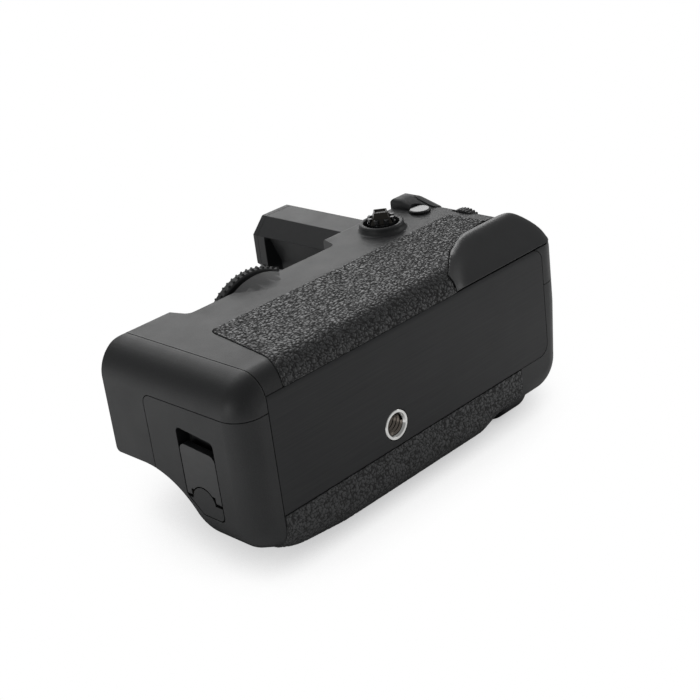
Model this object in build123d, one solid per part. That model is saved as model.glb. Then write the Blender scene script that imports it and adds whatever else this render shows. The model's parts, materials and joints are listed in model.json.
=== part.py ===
from build123d import *
import math
import os

# Battery grip for a mirrorless camera, lying on its front face.
# X runs along the length, Y from the bottom plate to the camera, Z out of the rear face.
# The origin is the centre of the tripod socket's mouth. All lengths are in millimetres.

# Case, seen from the camera side
case_length = 136
socket_to_left_end = 56
case_height = 57.5
rear_z = 35
neck_z = 1.6
bulge_depth = 22.5
wall = 2.0
seam_gap = 0.2
overrun = 5

left_x = -socket_to_left_end
right_x = left_x + case_length

# Roundings of the case
edge_round = 7.5
rear_left_round = 10
rear_right_round = 8
mating_edge_round = 1.5

# Front outline, seen from the camera side
left_corner_depth = 13.5
left_corner_round = 9
left_shoulder_length = 15
left_shoulder_depth = 20.6
left_shoulder_round = 25
left_run_length = 34
bulge_end_to_right = 41
groove_to_right = 33
groove_depth = 19.8
groove_round = 12
right_corner_lean = 2.2
right_corner_round = 11
lean_start_z = 9
lean_round = 40

# Front profile, seen from the end
slope_foot_y = 12.3
slope_foot_round = 9
slope_foot_drop = 0.5
shoulder_y = 32.2
shoulder_round = 27

# Forward steps of the mating face, under the lens mount and under the hand grip
mount_step_half_width = 27
mount_step_front_z = -2.3
mount_step_taper = 5
mount_step_round = 4
hand_step_left_x = 43
hand_step_front_z = -13
hand_step_taper = 3
hand_step_round = 7

# Screen step in the rear upper edge
screen_step_left_x = -28
screen_step_right_x = 32
screen_step_height = 7.5
screen_step_y = case_height - screen_step_height
screen_step_z = 27
screen_step_ramp = 4
screen_step_round = 2.5

# Shoulder hump at the right end of the rear face
hump_left_x = 66.5
hump_height = 3
hump_start_drop = 14
hump_crest_drop = 4.5
hump_start_y = case_height - hump_start_drop
hump_crest_y = case_height - hump_crest_drop
hump_end_round = 9
hump_edge_round = 1.6

# Seams
split_z = 16.5
door_seam_x = -46
door_top_y = 40
door_rear_z = 24.3
door_corner_round = 3
plate_front_z = -6.5
plate_rear_z = 29
plate_right_x = 71
plate_corner_round = 4
plate_thickness = 2.0
mating_plate_thickness = 2.0
mating_plate_margin = 2.4

# Grip pads
pad_proud = 0.3
pad_sink = 0.7
pad_top_y = 35
pad_right_x = 69.5
pad_left_top_x = -33.3
pad_left_low_x = -36.9
pad_left_low_y = 9
pad_left_foot_x = -41
pad_corner_round = 3
pad_left_low_round = 20
front_pad_right_x = 48.5
front_pad_corner_x = 57
front_pad_corner_y = 6
front_pad_top_y = 38
front_pad_corner_round = 4

# Thumb rest
thumb_left_x = 31
thumb_left_y = 3
thumb_rise_x = 44
thumb_rise_y = 12.8
thumb_crest_x = 56
thumb_crest_y = 18.6
thumb_top_y = 20.5
thumb_ridge_y = 15
thumb_height = 3.0
thumb_ridge_round = 3.5
thumb_blend_x = 50
thumb_end_round = 8
thumb_skin = 2.9
thumb_outline_round = 12

# Battery chamber and tray
chamber_wall = 1.2
chamber_low_y = wall + seam_gap
chamber_high_y = 38.8
chamber_low_z = 4.0
chamber_high_z = 25.4
chamber_end_x = 62
chamber_left_gap = 0.4
gasket_gap = 0.1
tray_clearance = 0.3
tray_wall = 1.4
tray_floor = 1.2
tray_rib = 3
tray_flange = 2.0
tray_rail_height = 9
bay_count = 2
tray_end_gap = 6
door_skin = 2.2

# Door latch
latch_low_y = 12.8
latch_high_y = 27.6
latch_top_z = 16.3
latch_top_rise = 1.5
latch_low_z = -8.0
latch_heel_y = 21.5
latch_heel_z = -3.2
latch_pocket_depth = 4.2
latch_floor = 1.4
latch_gap = 0.3
flap_top_z = 12.1
flap_top_rise = 1.0
flap_top_round = 2.2
flap_thickness = 2.2
flap_corner_round = 1.6
latch_boss_radius = 4.6
latch_boss_y = 20.4
latch_boss_z = -4.0
latch_foot_z = -3.6
latch_pin_radius = 0.6
latch_pin_z = -2.2
latch_knuckle_radius = 1.1
latch_shaft_radius = 2.6
running_gap = 0.05
bolt_width = 5
bolt_thickness = 1.6
bolt_length = 15

# Tripod socket
socket_flange_radius = 4.7
socket_flange_height = 1.6
socket_body_radius = 3.9
socket_depth = 9
socket_thread_radius = 2.6
socket_bottom = 1.2

# Attachment wheel and screw
wheel_x = -1.5
wheel_z = 17.2
wheel_radius = 21
wheel_drop = 2.5
wheel_thickness = 3
wheel_high_y = case_height - wheel_drop
wheel_low_y = wheel_high_y - wheel_thickness
wheel_gap = 0.4
wheel_ribs = 72
wheel_rib_depth = 0.5
wheel_rim = 4
wheel_dish = 1
wheel_web_low_y = wheel_low_y + wheel_dish
wheel_web_high_y = wheel_high_y - wheel_dish
wheel_hub_radius = 6
screw_radius = 3.1
screw_shank_radius = 3.6
screw_reach = 5.5
screw_tip_chamfer = 0.8
bush_radius = 6.5
bush_flange_radius = 8
bush_flange_height = 0.6
clip_radius = 5
clip_thickness = 0.6
bracket_gap = 1.6
bracket_thickness = 1.8
bracket_high_y = wheel_low_y - bracket_gap
bracket_low_y = bracket_high_y - bracket_thickness
screw_tail = 1.6
screw_tail_low_y = bracket_low_y - screw_tail
bracket_half_width = 16
bracket_half_depth = 9
guard_rise = 2.2
guard_half_width = 12
guard_length = 8

# Camera tower
tower_left_x = 48
tower_width = 22.7
tower_front_z = -9
tower_rear_z = 29
tower_reach = 50.5
tower_top_y = case_height + tower_reach
tower_wall = 1.6
tower_rear_chamfer = 5.4
tower_relief_x = 2.2
tower_relief_z = 13
tower_recess = 2.5
tower_front_chamfer = 3
tower_cap_height = 3
tower_foot_height = 1.2
tower_foot_margin = 1.2
contact_count = 3
contact_width = 2.4
contact_pitch = 4.6
contact_length = 8
contact_thickness = 0.6
contact_inset = 4
ribbon_width = 9
ribbon_thickness = 0.3

# Mating face fittings
cushion_thickness = 0.8
cushion_margin = 5
pin_radius = 1.6
pin_height = 3
pin_flange_radius = 2.6
pin_round = 0.8
pin_left_x = -40
pin_right_x = 40
pin_z = 12

# Joystick
stick_x = 49.9
stick_drop = 11.3
stick_y = case_height - stick_drop
stick_pivot_z = 31
bezel_foot_radius = 8.2
bezel_top_radius = 6.7
bezel_hole_radius = 5.7
bezel_height = 2.4
bezel_round = 0.3
stick_disc_radius = 4.4
stick_disc_low_z = 36.1
stick_disc_high_z = 37.4
stick_cap_side = 3.8
stick_cap_taper = 9
stick_cap_top_z = 41
stick_claw_width = 1.4
stick_claw_depth = 1.0
stick_claw_height = 1.8
stick_claws = 8
stick_stem_radius = 1.2
stick_stem_top_z = 38
stick_press = 0.4
gimbal_outer = 4.6
gimbal_inner = 3.0
gimbal_height = 1.4
gimbal_pin_radius = 0.5
stick_base_side = 13
stick_ear_thickness = 1.2
stick_ear_height = 4.2

# Circuit board and switches
board_top_z = 28.2
board_thickness = 1.2
board_left_x = -30
board_right_x = 69.2
board_low_y = 6
board_high_y = 43
board_wing_left_x = 38
board_wing_right_x = 76
board_wing_drop = 3.5
board_wing_high_y = case_height - board_wing_drop
board_post_radius = 2
switch_side = 5
switch_gap = 0.6

# Buttons on the rear face
afon_x = 67.5
afon_drop = 11.9
afon_y = case_height - afon_drop
afon_radius = 3.45
afon_proud = 1.1
button_clearance = 0.15
button_flange = 0.7
button_flange_height = 1.2
button_crown = 0.5
function_x = 74.4
function_drop = 9.9
function_y = case_height - function_drop
function_length = 9
function_width = 4.6
function_proud = 0.3

# Rear dial
rear_dial_y = 32.1
rear_dial_z = 27.8
rear_dial_radius = 8
rear_dial_left_x = 72.5
rear_dial_width = 3.2
dial_gap = 0.35
dial_ribs = 40
dial_rib_depth = 0.5
dial_shaft_radius = 1.5
dial_bracket_thickness = 1.0

# Front dial and its housing
front_housing_left_x = 49.5
front_housing_length = 13
front_housing_y = 11.5
front_housing_z = -14.5
front_housing_radius = 9.8
front_housing_round = 2.2
front_dial_offset_y = 1.3
front_dial_offset_z = -0.7
front_dial_radius = 9.4
front_dial_width = 5
front_dial_reach = 11

# Shutter release on the right end
shutter_y = 20
shutter_z = 2
shutter_pad_low_y = 5
shutter_pad_high_y = 35
shutter_pad_low_z = -10
shutter_pad_high_z = 15
shutter_pad_round = 9
shutter_pad_proud = 1.2
shutter_pad_depth = 3.2
shutter_radius = 5.4
shutter_proud = 4
shutter_travel = 1.0
ring_outer_radius = 9
ring_height = 2.4
ring_lever_reach = 12.5
ring_lever_width = 4
collar_radius = 5.7
collar_reach = 1.0

# Fasteners
fastener_head_radius = 1.9
fastener_head_height = 1.2
fastener_shank_radius = 0.9
fastener_shank_length = 5
fastener_recess = 0.8
fastener_recess_radius = 0.8
fastener_boss_radius = 2.4
fastener_boss_length = 7
fastener_recess_sides = 4

# Grip ribs on a wheel or dial: where the corners of one rib lie in its pitch
rib_corner_shares = (0, 0.5, 0.625, 0.875)


def block(x_span, y_span, z_span):
    """A box between two values on each axis."""
    size = [high - low for low, high in (x_span, y_span, z_span)]
    middle = [(high + low) / 2 for low, high in (x_span, y_span, z_span)]
    return Pos(*middle) * Box(*size)


def outline(corners):
    """A closed face through corners given as first value, second value, rounding."""
    points = [(first, second) for first, second, rounding in corners]
    radii = [rounding for first, second, rounding in corners]
    return make_face(FilletPolyline(*points, radius=radii, close=True))


def prism_along_x(face, low, high):
    """A face drawn in Y and Z, drawn out between two X values."""
    return extrude(Plane.YZ.offset(low) * face, high - low)


def prism_along_y(face, low, high):
    """A face drawn in X and Z, drawn out between two Y values."""
    return extrude(Plane.XZ.offset(-low) * face, low - high)


def prism_along_z(face, low, high):
    """A face drawn in X and Y, drawn out between two Z values."""
    return extrude(Plane.XY.offset(low) * face, high - low)


def rod_x(radius, y, z, low, high):
    return prism_along_x(Pos(y, z) * Circle(radius), low, high)


def rod_y(radius, x, z, low, high):
    return prism_along_y(Pos(x, z) * Circle(radius), low, high)


def rod_z(radius, x, y, low, high):
    return prism_along_z(Pos(x, y) * Circle(radius), low, high)


def ribbed_disc(radius, depth, ribs):
    """A disc outline with grip ribs round its rim."""
    inner = radius - depth
    places = list(zip(rib_corner_shares, (radius, radius, inner, inner)))
    points = []
    for rib in range(ribs):
        for share, reach in places:
            angle = 2 * math.pi * (rib + share) / ribs
            points.append((reach * math.cos(angle), reach * math.sin(angle)))
    return make_face(Polyline(*points, close=True))


# Case forms


def plan_face(inset):
    """The case seen from the camera side, in X and Z."""
    corners = [
        (left_x, rear_z, rear_left_round),
        (left_x, -left_corner_depth, left_corner_round),
        (left_x + left_shoulder_length, -left_shoulder_depth, left_shoulder_round),
        (left_x + left_run_length, -bulge_depth, left_shoulder_round),
        (right_x - bulge_end_to_right, -bulge_depth, groove_round),
        (right_x - groove_to_right, -groove_depth, groove_round),
        (right_x - right_corner_lean, -groove_depth, right_corner_round),
        (right_x, lean_start_z, lean_round),
        (right_x, rear_z, rear_right_round),
    ]
    return offset(outline(corners), -inset) if inset else outline(corners)


def side_face(inset):
    """The case seen from the end, in Y and Z."""
    foot_z = -bulge_depth - slope_foot_drop
    corners = [
        (-overrun, foot_z, 0),
        (slope_foot_y, foot_z, slope_foot_round),
        (shoulder_y, neck_z, shoulder_round),
        (case_height, neck_z, mating_edge_round),
        (case_height, rear_z, mating_edge_round),
        (-overrun, rear_z, 0),
    ]
    return offset(outline(corners), -inset) if inset else outline(corners)


def screen_step(inset):
    """The room cut from the rear upper edge for a tilting screen."""
    low_y = screen_step_y - inset
    corners = [
        (screen_step_left_x - inset, low_y, screen_step_round + inset),
        (screen_step_right_x + inset, low_y, screen_step_round + inset),
        (screen_step_right_x + inset + screen_step_ramp, case_height + overrun, 0),
        (screen_step_left_x - inset - screen_step_ramp, case_height + overrun, 0),
    ]
    return prism_along_z(outline(corners), screen_step_z - inset, rear_z + overrun)


def case_body(inset):
    """The plain case, with every wall moved in by the inset."""
    body = prism_along_y(plan_face(inset), inset, case_height + overrun)
    rim = body.faces().sort_by(Axis.Y)[0].edges()
    body = fillet(rim, edge_round - inset)
    body = body & prism_along_x(side_face(inset), left_x - overrun, right_x + overrun)
    return body - screen_step(inset)


def mount_step(inset):
    """The part of the mating face that reaches forward under the lens mount."""
    half = mount_step_half_width - inset
    back_z = neck_z + mount_step_taper
    corners = [
        (wheel_x - half, back_z, 0),
        (wheel_x - half + mount_step_taper, mount_step_front_z + inset, mount_step_round),
        (wheel_x + half - mount_step_taper, mount_step_front_z + inset, mount_step_round),
        (wheel_x + half, back_z, 0),
    ]
    return prism_along_y(outline(corners), shoulder_y, case_height - inset)


def hand_step(inset):
    """The part of the mating face that reaches forward under the camera's hand grip."""
    slope = (neck_z + bulge_depth + slope_foot_drop) / (shoulder_y - slope_foot_y)
    foot_y = shoulder_y - (neck_z - hand_step_front_z) / slope
    back_z = neck_z + mount_step_taper
    corners = [
        (hand_step_left_x + inset, back_z, 0),
        (hand_step_left_x + inset + hand_step_taper, hand_step_front_z + inset, hand_step_round),
        (right_x - right_corner_lean - inset, hand_step_front_z + inset, hand_step_round),
        (right_x - inset, back_z, 0),
    ]
    return prism_along_y(outline(corners), foot_y + inset, case_height - inset)


def hump_section(top_z, end_round, inset):
    """The hump's outline in X and Z at one place along it."""
    low_z = rear_z - inset - hump_end_round
    return outline([
        (hump_left_x + inset, low_z, 0),
        (hump_left_x + inset, top_z, hump_edge_round),
        (right_x - inset, top_z, end_round),
        (right_x - inset, low_z, 0),
    ])


def hump(inset):
    """The raised shoulder at the right end of the rear face, which rises out of the case's own outline."""
    top_z = rear_z + hump_height - inset
    low_z = rear_z - inset - hump_end_round
    flush = hump_section(rear_z - inset, rear_right_round - inset, inset)
    full = hump_section(top_z, hump_end_round - inset, inset)
    ramp = loft([Plane.XZ.offset(-hump_start_y) * flush, Plane.XZ.offset(-hump_crest_y) * full])
    lip = outline([
        (hump_start_y, low_z, 0),
        (hump_start_y, top_z, 0),
        (case_height - inset, top_z, mating_edge_round),
        (case_height - inset, low_z, 0),
    ])
    ridge = ramp + prism_along_y(full, hump_crest_y, case_height)
    return ridge & prism_along_x(lip, hump_left_x, right_x)


outer = case_body(0) + mount_step(0) + hand_step(0) + hump(0)
inner = case_body(wall) + hand_step(wall) + hump(wall)
shell = outer - inner


def door_region(growth):
    """The room of the battery door, with its rounded inner corner."""
    corners = [
        (-overrun, -bulge_depth - overrun, 0),
        (door_top_y + growth, -bulge_depth - overrun, 0),
        (door_top_y + growth, door_rear_z + growth, door_corner_round + growth),
        (-overrun, door_rear_z + growth, 0),
    ]
    return prism_along_x(outline(corners), left_x - overrun, door_seam_x + growth)


def plate_region(growth):
    """The room of the bottom plate."""
    corners = [
        (door_seam_x + seam_gap - growth, plate_front_z - growth, 0),
        (plate_right_x + growth, plate_front_z - growth, plate_corner_round + growth),
        (plate_right_x + growth, plate_rear_z + growth, plate_corner_round + growth),
        (door_seam_x + seam_gap - growth, plate_rear_z + growth, 0),
    ]
    return prism_along_y(outline(corners), -overrun, plate_thickness)


def mating_region(growth):
    """The room of the plate that meets the camera."""
    margin = mating_plate_margin - growth
    corners = [
        (left_x + margin, neck_z + margin, plate_corner_round),
        (right_x - margin, neck_z + margin, plate_corner_round),
        (right_x - margin, rear_z - margin, rear_right_round),
        (screen_step_right_x + screen_step_ramp + margin, rear_z - margin, 0),
        (screen_step_right_x + screen_step_ramp + margin, screen_step_z - margin, 0),
        (screen_step_left_x - screen_step_ramp - margin, screen_step_z - margin, 0),
        (screen_step_left_x - screen_step_ramp - margin, rear_z - margin, 0),
        (left_x + margin, rear_z - margin, rear_left_round),
    ]
    low_y = case_height - mating_plate_thickness
    return prism_along_y(outline(corners), low_y, case_height + overrun)


def rear_pad_region(growth):
    """The room of the rear grip pad, seen from the rear."""
    corners = [
        (pad_left_foot_x - growth, -overrun, 0),
        (pad_left_low_x - growth, pad_left_low_y, pad_left_low_round),
        (pad_left_top_x - growth, pad_top_y + growth, pad_corner_round),
        (pad_right_x + growth, pad_top_y + growth, pad_corner_round),
        (pad_right_x + growth, -overrun, 0),
    ]
    low_z = plate_rear_z + seam_gap - growth
    return prism_along_z(outline(corners), low_z, rear_z + overrun)


def front_pad_region(growth):
    """The room of the front grip pad, seen from the front."""
    corners = [
        (door_seam_x + seam_gap - growth, -overrun, 0),
        (front_pad_corner_x + growth, -overrun, 0),
        (front_pad_corner_x + growth, front_pad_corner_y, front_pad_corner_round),
        (front_pad_right_x + growth, front_pad_corner_y + growth, 0),
        (front_pad_right_x - front_pad_corner_y, front_pad_top_y + growth, front_pad_corner_round),
        (door_seam_x + seam_gap - growth, front_pad_top_y + growth, 0),
    ]
    high_z = plate_front_z - seam_gap + growth
    low = prism_along_z(outline(corners), -bulge_depth - overrun, high_z)
    upper = prism_along_z(outline(corners), -bulge_depth - overrun, neck_z + wall)
    return low + (upper & prism_along_x(front_pad_band(), left_x, right_x))


def front_pad_band():
    """The stretch of the front above the bulge that the front pad covers, in Y and Z."""
    return outline([
        (slope_foot_y, -bulge_depth - overrun, 0),
        (front_pad_top_y + overrun, -bulge_depth - overrun, 0),
        (front_pad_top_y + overrun, neck_z + wall, 0),
        (slope_foot_y, neck_z + wall, 0),
    ])


def thumb_region(growth):
    """The thumb rest's outline, seen from the rear."""
    corners = [
        (thumb_left_x - growth, -overrun, 0),
        (thumb_left_x - growth, thumb_left_y, 0),
        (thumb_rise_x - growth, thumb_rise_y + growth, thumb_outline_round),
        (thumb_crest_x, thumb_crest_y + growth, thumb_outline_round),
        (right_x - thumb_end_round, thumb_top_y + growth, thumb_end_round),
        (right_x + growth, thumb_crest_y - thumb_end_round / 2, thumb_end_round),
        (right_x + growth, -overrun, 0),
    ]
    low_z = plate_rear_z + seam_gap - growth
    return prism_along_z(outline(corners), low_z, rear_z + overrun)


pad_outer = case_body(-pad_proud)
pad_inner = case_body(pad_sink)
pad_layer = pad_outer - pad_inner
recess_layer = outer - case_body(pad_sink + running_gap)


# Controls cut through the case


def wheel_slot():
    return rod_y(wheel_radius + wheel_gap, wheel_x, wheel_z, wheel_low_y - wheel_gap, wheel_high_y + wheel_gap)


def rear_dial_slot():
    low_x = rear_dial_left_x - dial_gap
    high_x = rear_dial_left_x + rear_dial_width + dial_gap
    return rod_x(rear_dial_radius + dial_gap, rear_dial_y, rear_dial_z, low_x, high_x)


def front_dial_centre():
    return front_housing_y + front_dial_offset_y, front_housing_z + front_dial_offset_z


def front_dial_slot():
    y, z = front_dial_centre()
    middle_x = front_housing_left_x + front_housing_length / 2
    half = front_dial_width / 2 + dial_gap
    return rod_x(front_dial_radius + dial_gap, y, z, middle_x - half, middle_x + half)


def front_housing_form(growth):
    low_x = front_housing_left_x - growth
    high_x = front_housing_left_x + front_housing_length + growth
    form = rod_x(front_housing_radius + growth, front_housing_y, front_housing_z, low_x, high_x)
    return fillet(form.edges(), front_housing_round)


def shutter_pad_form(growth):
    corners = [
        (shutter_pad_low_y - growth, shutter_pad_low_z - growth, shutter_pad_round),
        (shutter_pad_high_y + growth, shutter_pad_low_z - growth, shutter_pad_round),
        (shutter_pad_high_y + growth, shutter_pad_high_z + growth, shutter_pad_round),
        (shutter_pad_low_y - growth, shutter_pad_high_z + growth, shutter_pad_round),
    ]
    low_x = right_x - shutter_pad_depth
    return prism_along_x(outline(corners), low_x - growth, right_x + shutter_pad_proud)


def function_outline(growth):
    return RectangleRounded(
        function_width + 2 * growth,
        function_length + 2 * growth,
        function_width / 2 + growth - running_gap,
    )


def function_prism(growth, low, high):
    return prism_along_z(Pos(function_x, function_y) * function_outline(growth), low, high)


def chamber_outer():
    """The room that the battery chamber fills."""
    low_x = door_seam_x + chamber_left_gap
    return block((low_x, chamber_end_x), (chamber_low_y, chamber_high_y), (chamber_low_z, chamber_high_z))


rear_holes = (
    wheel_slot()
    + rear_dial_slot()
    + rod_z(bezel_hole_radius, stick_x, stick_y, rear_z - wall - overrun, rear_z + overrun)
    + rod_z(afon_radius + button_clearance, afon_x, afon_y, rear_z - wall - overrun, rear_z + overrun)
    + function_prism(button_clearance, rear_z - wall - overrun, rear_z + 2 * overrun)
)
front_holes = wheel_slot() + front_housing_form(seam_gap) + shutter_pad_form(seam_gap) + front_dial_slot()
right_of_door = block(
    (door_seam_x + seam_gap, right_x + overrun),
    (-overrun, case_height + overrun),
    (-bulge_depth - overrun, rear_z + 2 * overrun),
)
left_of_seam = block(
    (left_x - overrun, door_seam_x),
    (-overrun, case_height + overrun),
    (-bulge_depth - overrun, rear_z + overrun),
)
above_split = block(
    (left_x - overrun, right_x + overrun),
    (-overrun, case_height + overrun),
    (split_z + seam_gap, rear_z + 2 * overrun),
)
below_split = block(
    (left_x - overrun, right_x + overrun),
    (-overrun, case_height + overrun),
    (-bulge_depth - overrun, split_z),
)


# Screw bosses


def screw_margin():
    return mating_plate_margin + 2 * fastener_head_radius


def left_screw_places():
    x = left_x + screw_margin()
    return [(x, neck_z + screw_margin()), (x, screen_step_z - screw_margin())]


def front_screw_places():
    z = neck_z + screw_margin()
    return [(hand_step_left_x - screw_margin(), z), (right_x - screw_margin(), z)]


def rear_screw_places():
    return [(right_x - screw_margin(), screen_step_z - screw_margin())]


def screw_boss(x, z, wall_x, wall_z):
    """A boss under the mating plate, with a web to the nearest wall."""
    high_y = case_height - mating_plate_thickness - seam_gap
    low_y = high_y - fastener_boss_length
    boss = rod_y(fastener_boss_radius, x, z, low_y, high_y)
    half = fastener_shank_radius
    low_x, high_x = sorted((x, wall_x)) if wall_x != x else (x - half, x + half)
    low_z, high_z = sorted((z, wall_z)) if wall_z != z else (z - half, z + half)
    web = block((low_x, high_x), (low_y, high_y), (low_z, high_z))
    return boss + web - screw_form(x, z, 0)


def left_bosses():
    bosses = [screw_boss(x, z, left_x + wall, z) for x, z in left_screw_places()]
    return bosses[0] + bosses[1]


def front_bosses():
    (middle_x, z), (end_x, z) = front_screw_places()
    middle = screw_boss(middle_x, z, middle_x, neck_z + wall)
    return middle + screw_boss(end_x, z, right_x - wall, z)


def rear_bosses():
    x, z = rear_screw_places()[0]
    return screw_boss(x, z, right_x - wall, z)


# Casings


def make_rear_cover():
    cover = shell & right_of_door & above_split
    cover = cover - plate_region(seam_gap) - mating_region(seam_gap)
    cover = cover - (recess_layer & rear_pad_region(seam_gap))
    cover = cover - thumb_region(seam_gap)
    cover = cover + wheel_guard() + rear_bosses()
    return cover - rear_holes - rear_dial_bore() - shutter_pad_form(seam_gap)


def wheel_guard():
    """A low arc on the rear edge in front of the wheel's rim, which slopes down to the rear face."""
    foot_radius = rear_z - wheel_z
    slope = Rot(-90, 0, 0) * Cone(foot_radius, foot_radius + guard_rise, guard_length)
    bounds = block(
        (wheel_x - guard_half_width, wheel_x + guard_half_width),
        (screen_step_y - guard_length, screen_step_y),
        (rear_z - wall, rear_z + guard_rise),
    )
    return (Pos(wheel_x, screen_step_y - guard_length / 2, wheel_z) * slope) & bounds


def make_front_shell():
    cover = shell & right_of_door & below_split
    cover = cover - plate_region(seam_gap) - mating_region(seam_gap)
    cover = cover - (recess_layer & front_pad_region(seam_gap)) + front_bosses()
    return cover - front_holes


def make_left_side_cover():
    cover = (shell & left_of_seam) - door_region(seam_gap) - mating_region(seam_gap)
    return cover + left_bosses()


def make_bottom_plate():
    plate = outer & plate_region(0)
    return plate - rod_y(socket_flange_radius + running_gap, 0, 0, -overrun, plate_thickness)


def make_mating_plate():
    plate = mating_region(0) & block(
        (left_x, right_x),
        (case_height - mating_plate_thickness, case_height),
        (neck_z, rear_z),
    )
    plate = plate - rod_y(bush_radius, wheel_x, wheel_z, wheel_high_y, case_height)
    for x in (pin_left_x, pin_right_x):
        plate = plate - rod_y(pin_radius, x, pin_z, wheel_high_y, case_height)
    for x, z in left_screw_places() + front_screw_places() + rear_screw_places():
        plate = plate - screw_form(x, z, 0)
    return plate - prism_along_y(tower_face(tower_wall, tower_recess), wheel_high_y, case_height)


def make_rear_grip_pad():
    return (pad_layer & rear_pad_region(0)) - thumb_region(seam_gap)


def make_front_grip_pad():
    return (pad_layer & front_pad_region(0)) - front_housing_form(seam_gap)


def thumb_section(x, ridge_y, ridge_z, ridge_round):
    """The thumb rest cut across at one X value."""
    low_z = plate_rear_z - wall
    seam_z = plate_rear_z + seam_gap
    face = outline([
        (0, low_z, 0),
        (0, seam_z, 0),
        (ridge_y, ridge_z, ridge_round),
        (thumb_top_y, rear_z - pad_sink, 0),
        (thumb_top_y, low_z, 0),
    ])
    return Plane.YZ.offset(x) * face


def thumb_ends():
    """The thumb rest's bounds at its right end, with the case's own corner rounding."""
    corners = outline([
        (thumb_left_x, rear_z - edge_round, 0),
        (thumb_left_x, rear_z + thumb_height, 0),
        (right_x, rear_z + thumb_height, thumb_end_round),
        (right_x, plate_rear_z - edge_round, 0),
        (thumb_left_x + edge_round, plate_rear_z - edge_round, 0),
    ])
    body = prism_along_y(corners, 0, case_height)
    rim = body.faces().sort_by(Axis.Y)[0].edges().filter_by(lambda edge: edge.center().X > right_x - thumb_end_round)
    return fillet(rim, edge_round)


def make_thumb_rest():
    """A ridge that starts as the case's own edge rounding and climbs to the right."""
    flush = thumb_section(thumb_left_x, seam_gap, rear_z, edge_round - wall)
    full = thumb_section(thumb_blend_x, thumb_ridge_y, rear_z + thumb_height, thumb_ridge_round)
    body = loft([flush, full]) + extrude(full, right_x - thumb_blend_x)
    return (body & thumb_ends() & thumb_region(0)) - case_body(thumb_skin)


def make_front_dial_housing():
    housing = front_housing_form(0) - front_dial_slot()
    low_x = front_housing_left_x
    high_x = front_housing_left_x + front_housing_length
    y, z = front_dial_centre()
    inside = rod_x(front_housing_radius - wall, front_housing_y, front_housing_z, low_x + wall, high_x - wall)
    housing = housing - inside
    return housing - rod_x(dial_shaft_radius + running_gap, y, z, low_x - overrun, high_x + overrun)


def make_shutter_housing():
    pad = shutter_pad_form(0)
    rim = pad.faces().sort_by(Axis.X)[-1].edges()
    pad = fillet(rim, shutter_pad_proud - seam_gap)
    pad = pad - rod_x(collar_radius, shutter_y, shutter_z, left_x, right_x + overrun)
    return pad


# Camera side fittings


def tower_face(inset, recess=0):
    """The tower's outline, seen from its tip, in X and Z. The recess deepens the relief in its sides."""
    right = tower_left_x + tower_width
    relief = tower_relief_x + recess
    corners = [
        (tower_left_x, tower_relief_z, 0),
        (tower_left_x, tower_rear_z - tower_rear_chamfer, 0),
        (tower_left_x + tower_rear_chamfer, tower_rear_z, 0),
        (right - tower_rear_chamfer, tower_rear_z, 0),
        (right, tower_rear_z - tower_rear_chamfer, 0),
        (right, tower_relief_z, 0),
        (right - relief, tower_relief_z - tower_relief_x, 0),
        (right - relief, tower_front_z + tower_front_chamfer, 0),
        (right - relief - tower_front_chamfer, tower_front_z, 0),
        (tower_left_x + relief + tower_front_chamfer, tower_front_z, 0),
        (tower_left_x + relief, tower_front_z + tower_front_chamfer, 0),
        (tower_left_x + relief, tower_relief_z - tower_relief_x, 0),
    ]
    return offset(outline(corners), -inset, kind=Kind.INTERSECTION) if inset else outline(corners)


def make_tower_shell():
    high_y = tower_top_y - tower_cap_height
    tower = prism_along_y(tower_face(0, tower_recess), case_height, high_y)
    foot = prism_along_y(tower_face(-tower_foot_margin), case_height, case_height + tower_foot_height)
    hollow = prism_along_y(tower_face(tower_wall, tower_recess), case_height - overrun, high_y)
    return tower + foot - hollow


def make_tower_end_cap():
    low_y = tower_top_y - tower_cap_height
    cap = prism_along_y(tower_face(0), low_y, tower_top_y)
    tip = cap.faces().sort_by(Axis.Y)[-1].edges()
    cap = chamfer(tip, tower_wall / 2)
    for index in range(contact_count):
        cap = cap - contact_strip(index)
    plug_low_y = low_y - tower_cap_height
    plug = prism_along_y(tower_face(tower_wall + running_gap, tower_recess), plug_low_y, low_y)
    return cap + plug - prism_along_y(tower_face(2 * tower_wall, tower_recess), plug_low_y, low_y)


def contact_strip(index):
    """One contact strip in the tower's end cap."""
    middle_x = tower_left_x + tower_width / 2 + (index - (contact_count - 1) / 2) * contact_pitch
    low_z = tower_front_z + contact_inset
    return block(
        (middle_x - contact_width / 2, middle_x + contact_width / 2),
        (tower_top_y - contact_thickness, tower_top_y),
        (low_z, low_z + contact_length),
    )


def make_tower_contacts():
    return [contact_strip(index) for index in range(contact_count)]


def make_mating_cushion():
    margin = mating_plate_margin + cushion_margin
    corners = [
        (left_x + margin, neck_z + margin, plate_corner_round),
        (tower_left_x - cushion_margin, neck_z + margin, plate_corner_round),
        (tower_left_x - cushion_margin, screen_step_z - margin, plate_corner_round),
        (left_x + margin, screen_step_z - margin, plate_corner_round),
    ]
    cushion = prism_along_y(outline(corners), case_height, case_height + cushion_thickness)
    cushion = cushion - rod_y(bush_flange_radius + seam_gap, wheel_x, wheel_z, case_height, case_height + overrun)
    for x in (pin_left_x, pin_right_x):
        cushion = cushion - rod_y(pin_flange_radius + seam_gap, x, pin_z, case_height, case_height + overrun)
    return cushion


def make_locating_pins():
    pins = []
    for x in (pin_left_x, pin_right_x):
        pin = rod_y(pin_radius, x, pin_z, case_height - mating_plate_thickness, case_height + pin_height)
        pin = chamfer(pin.faces().sort_by(Axis.Y)[-1].edges(), pin_round)
        pins.append(pin + rod_y(pin_flange_radius, x, pin_z, case_height, case_height + pin_round))
    return pins


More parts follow.
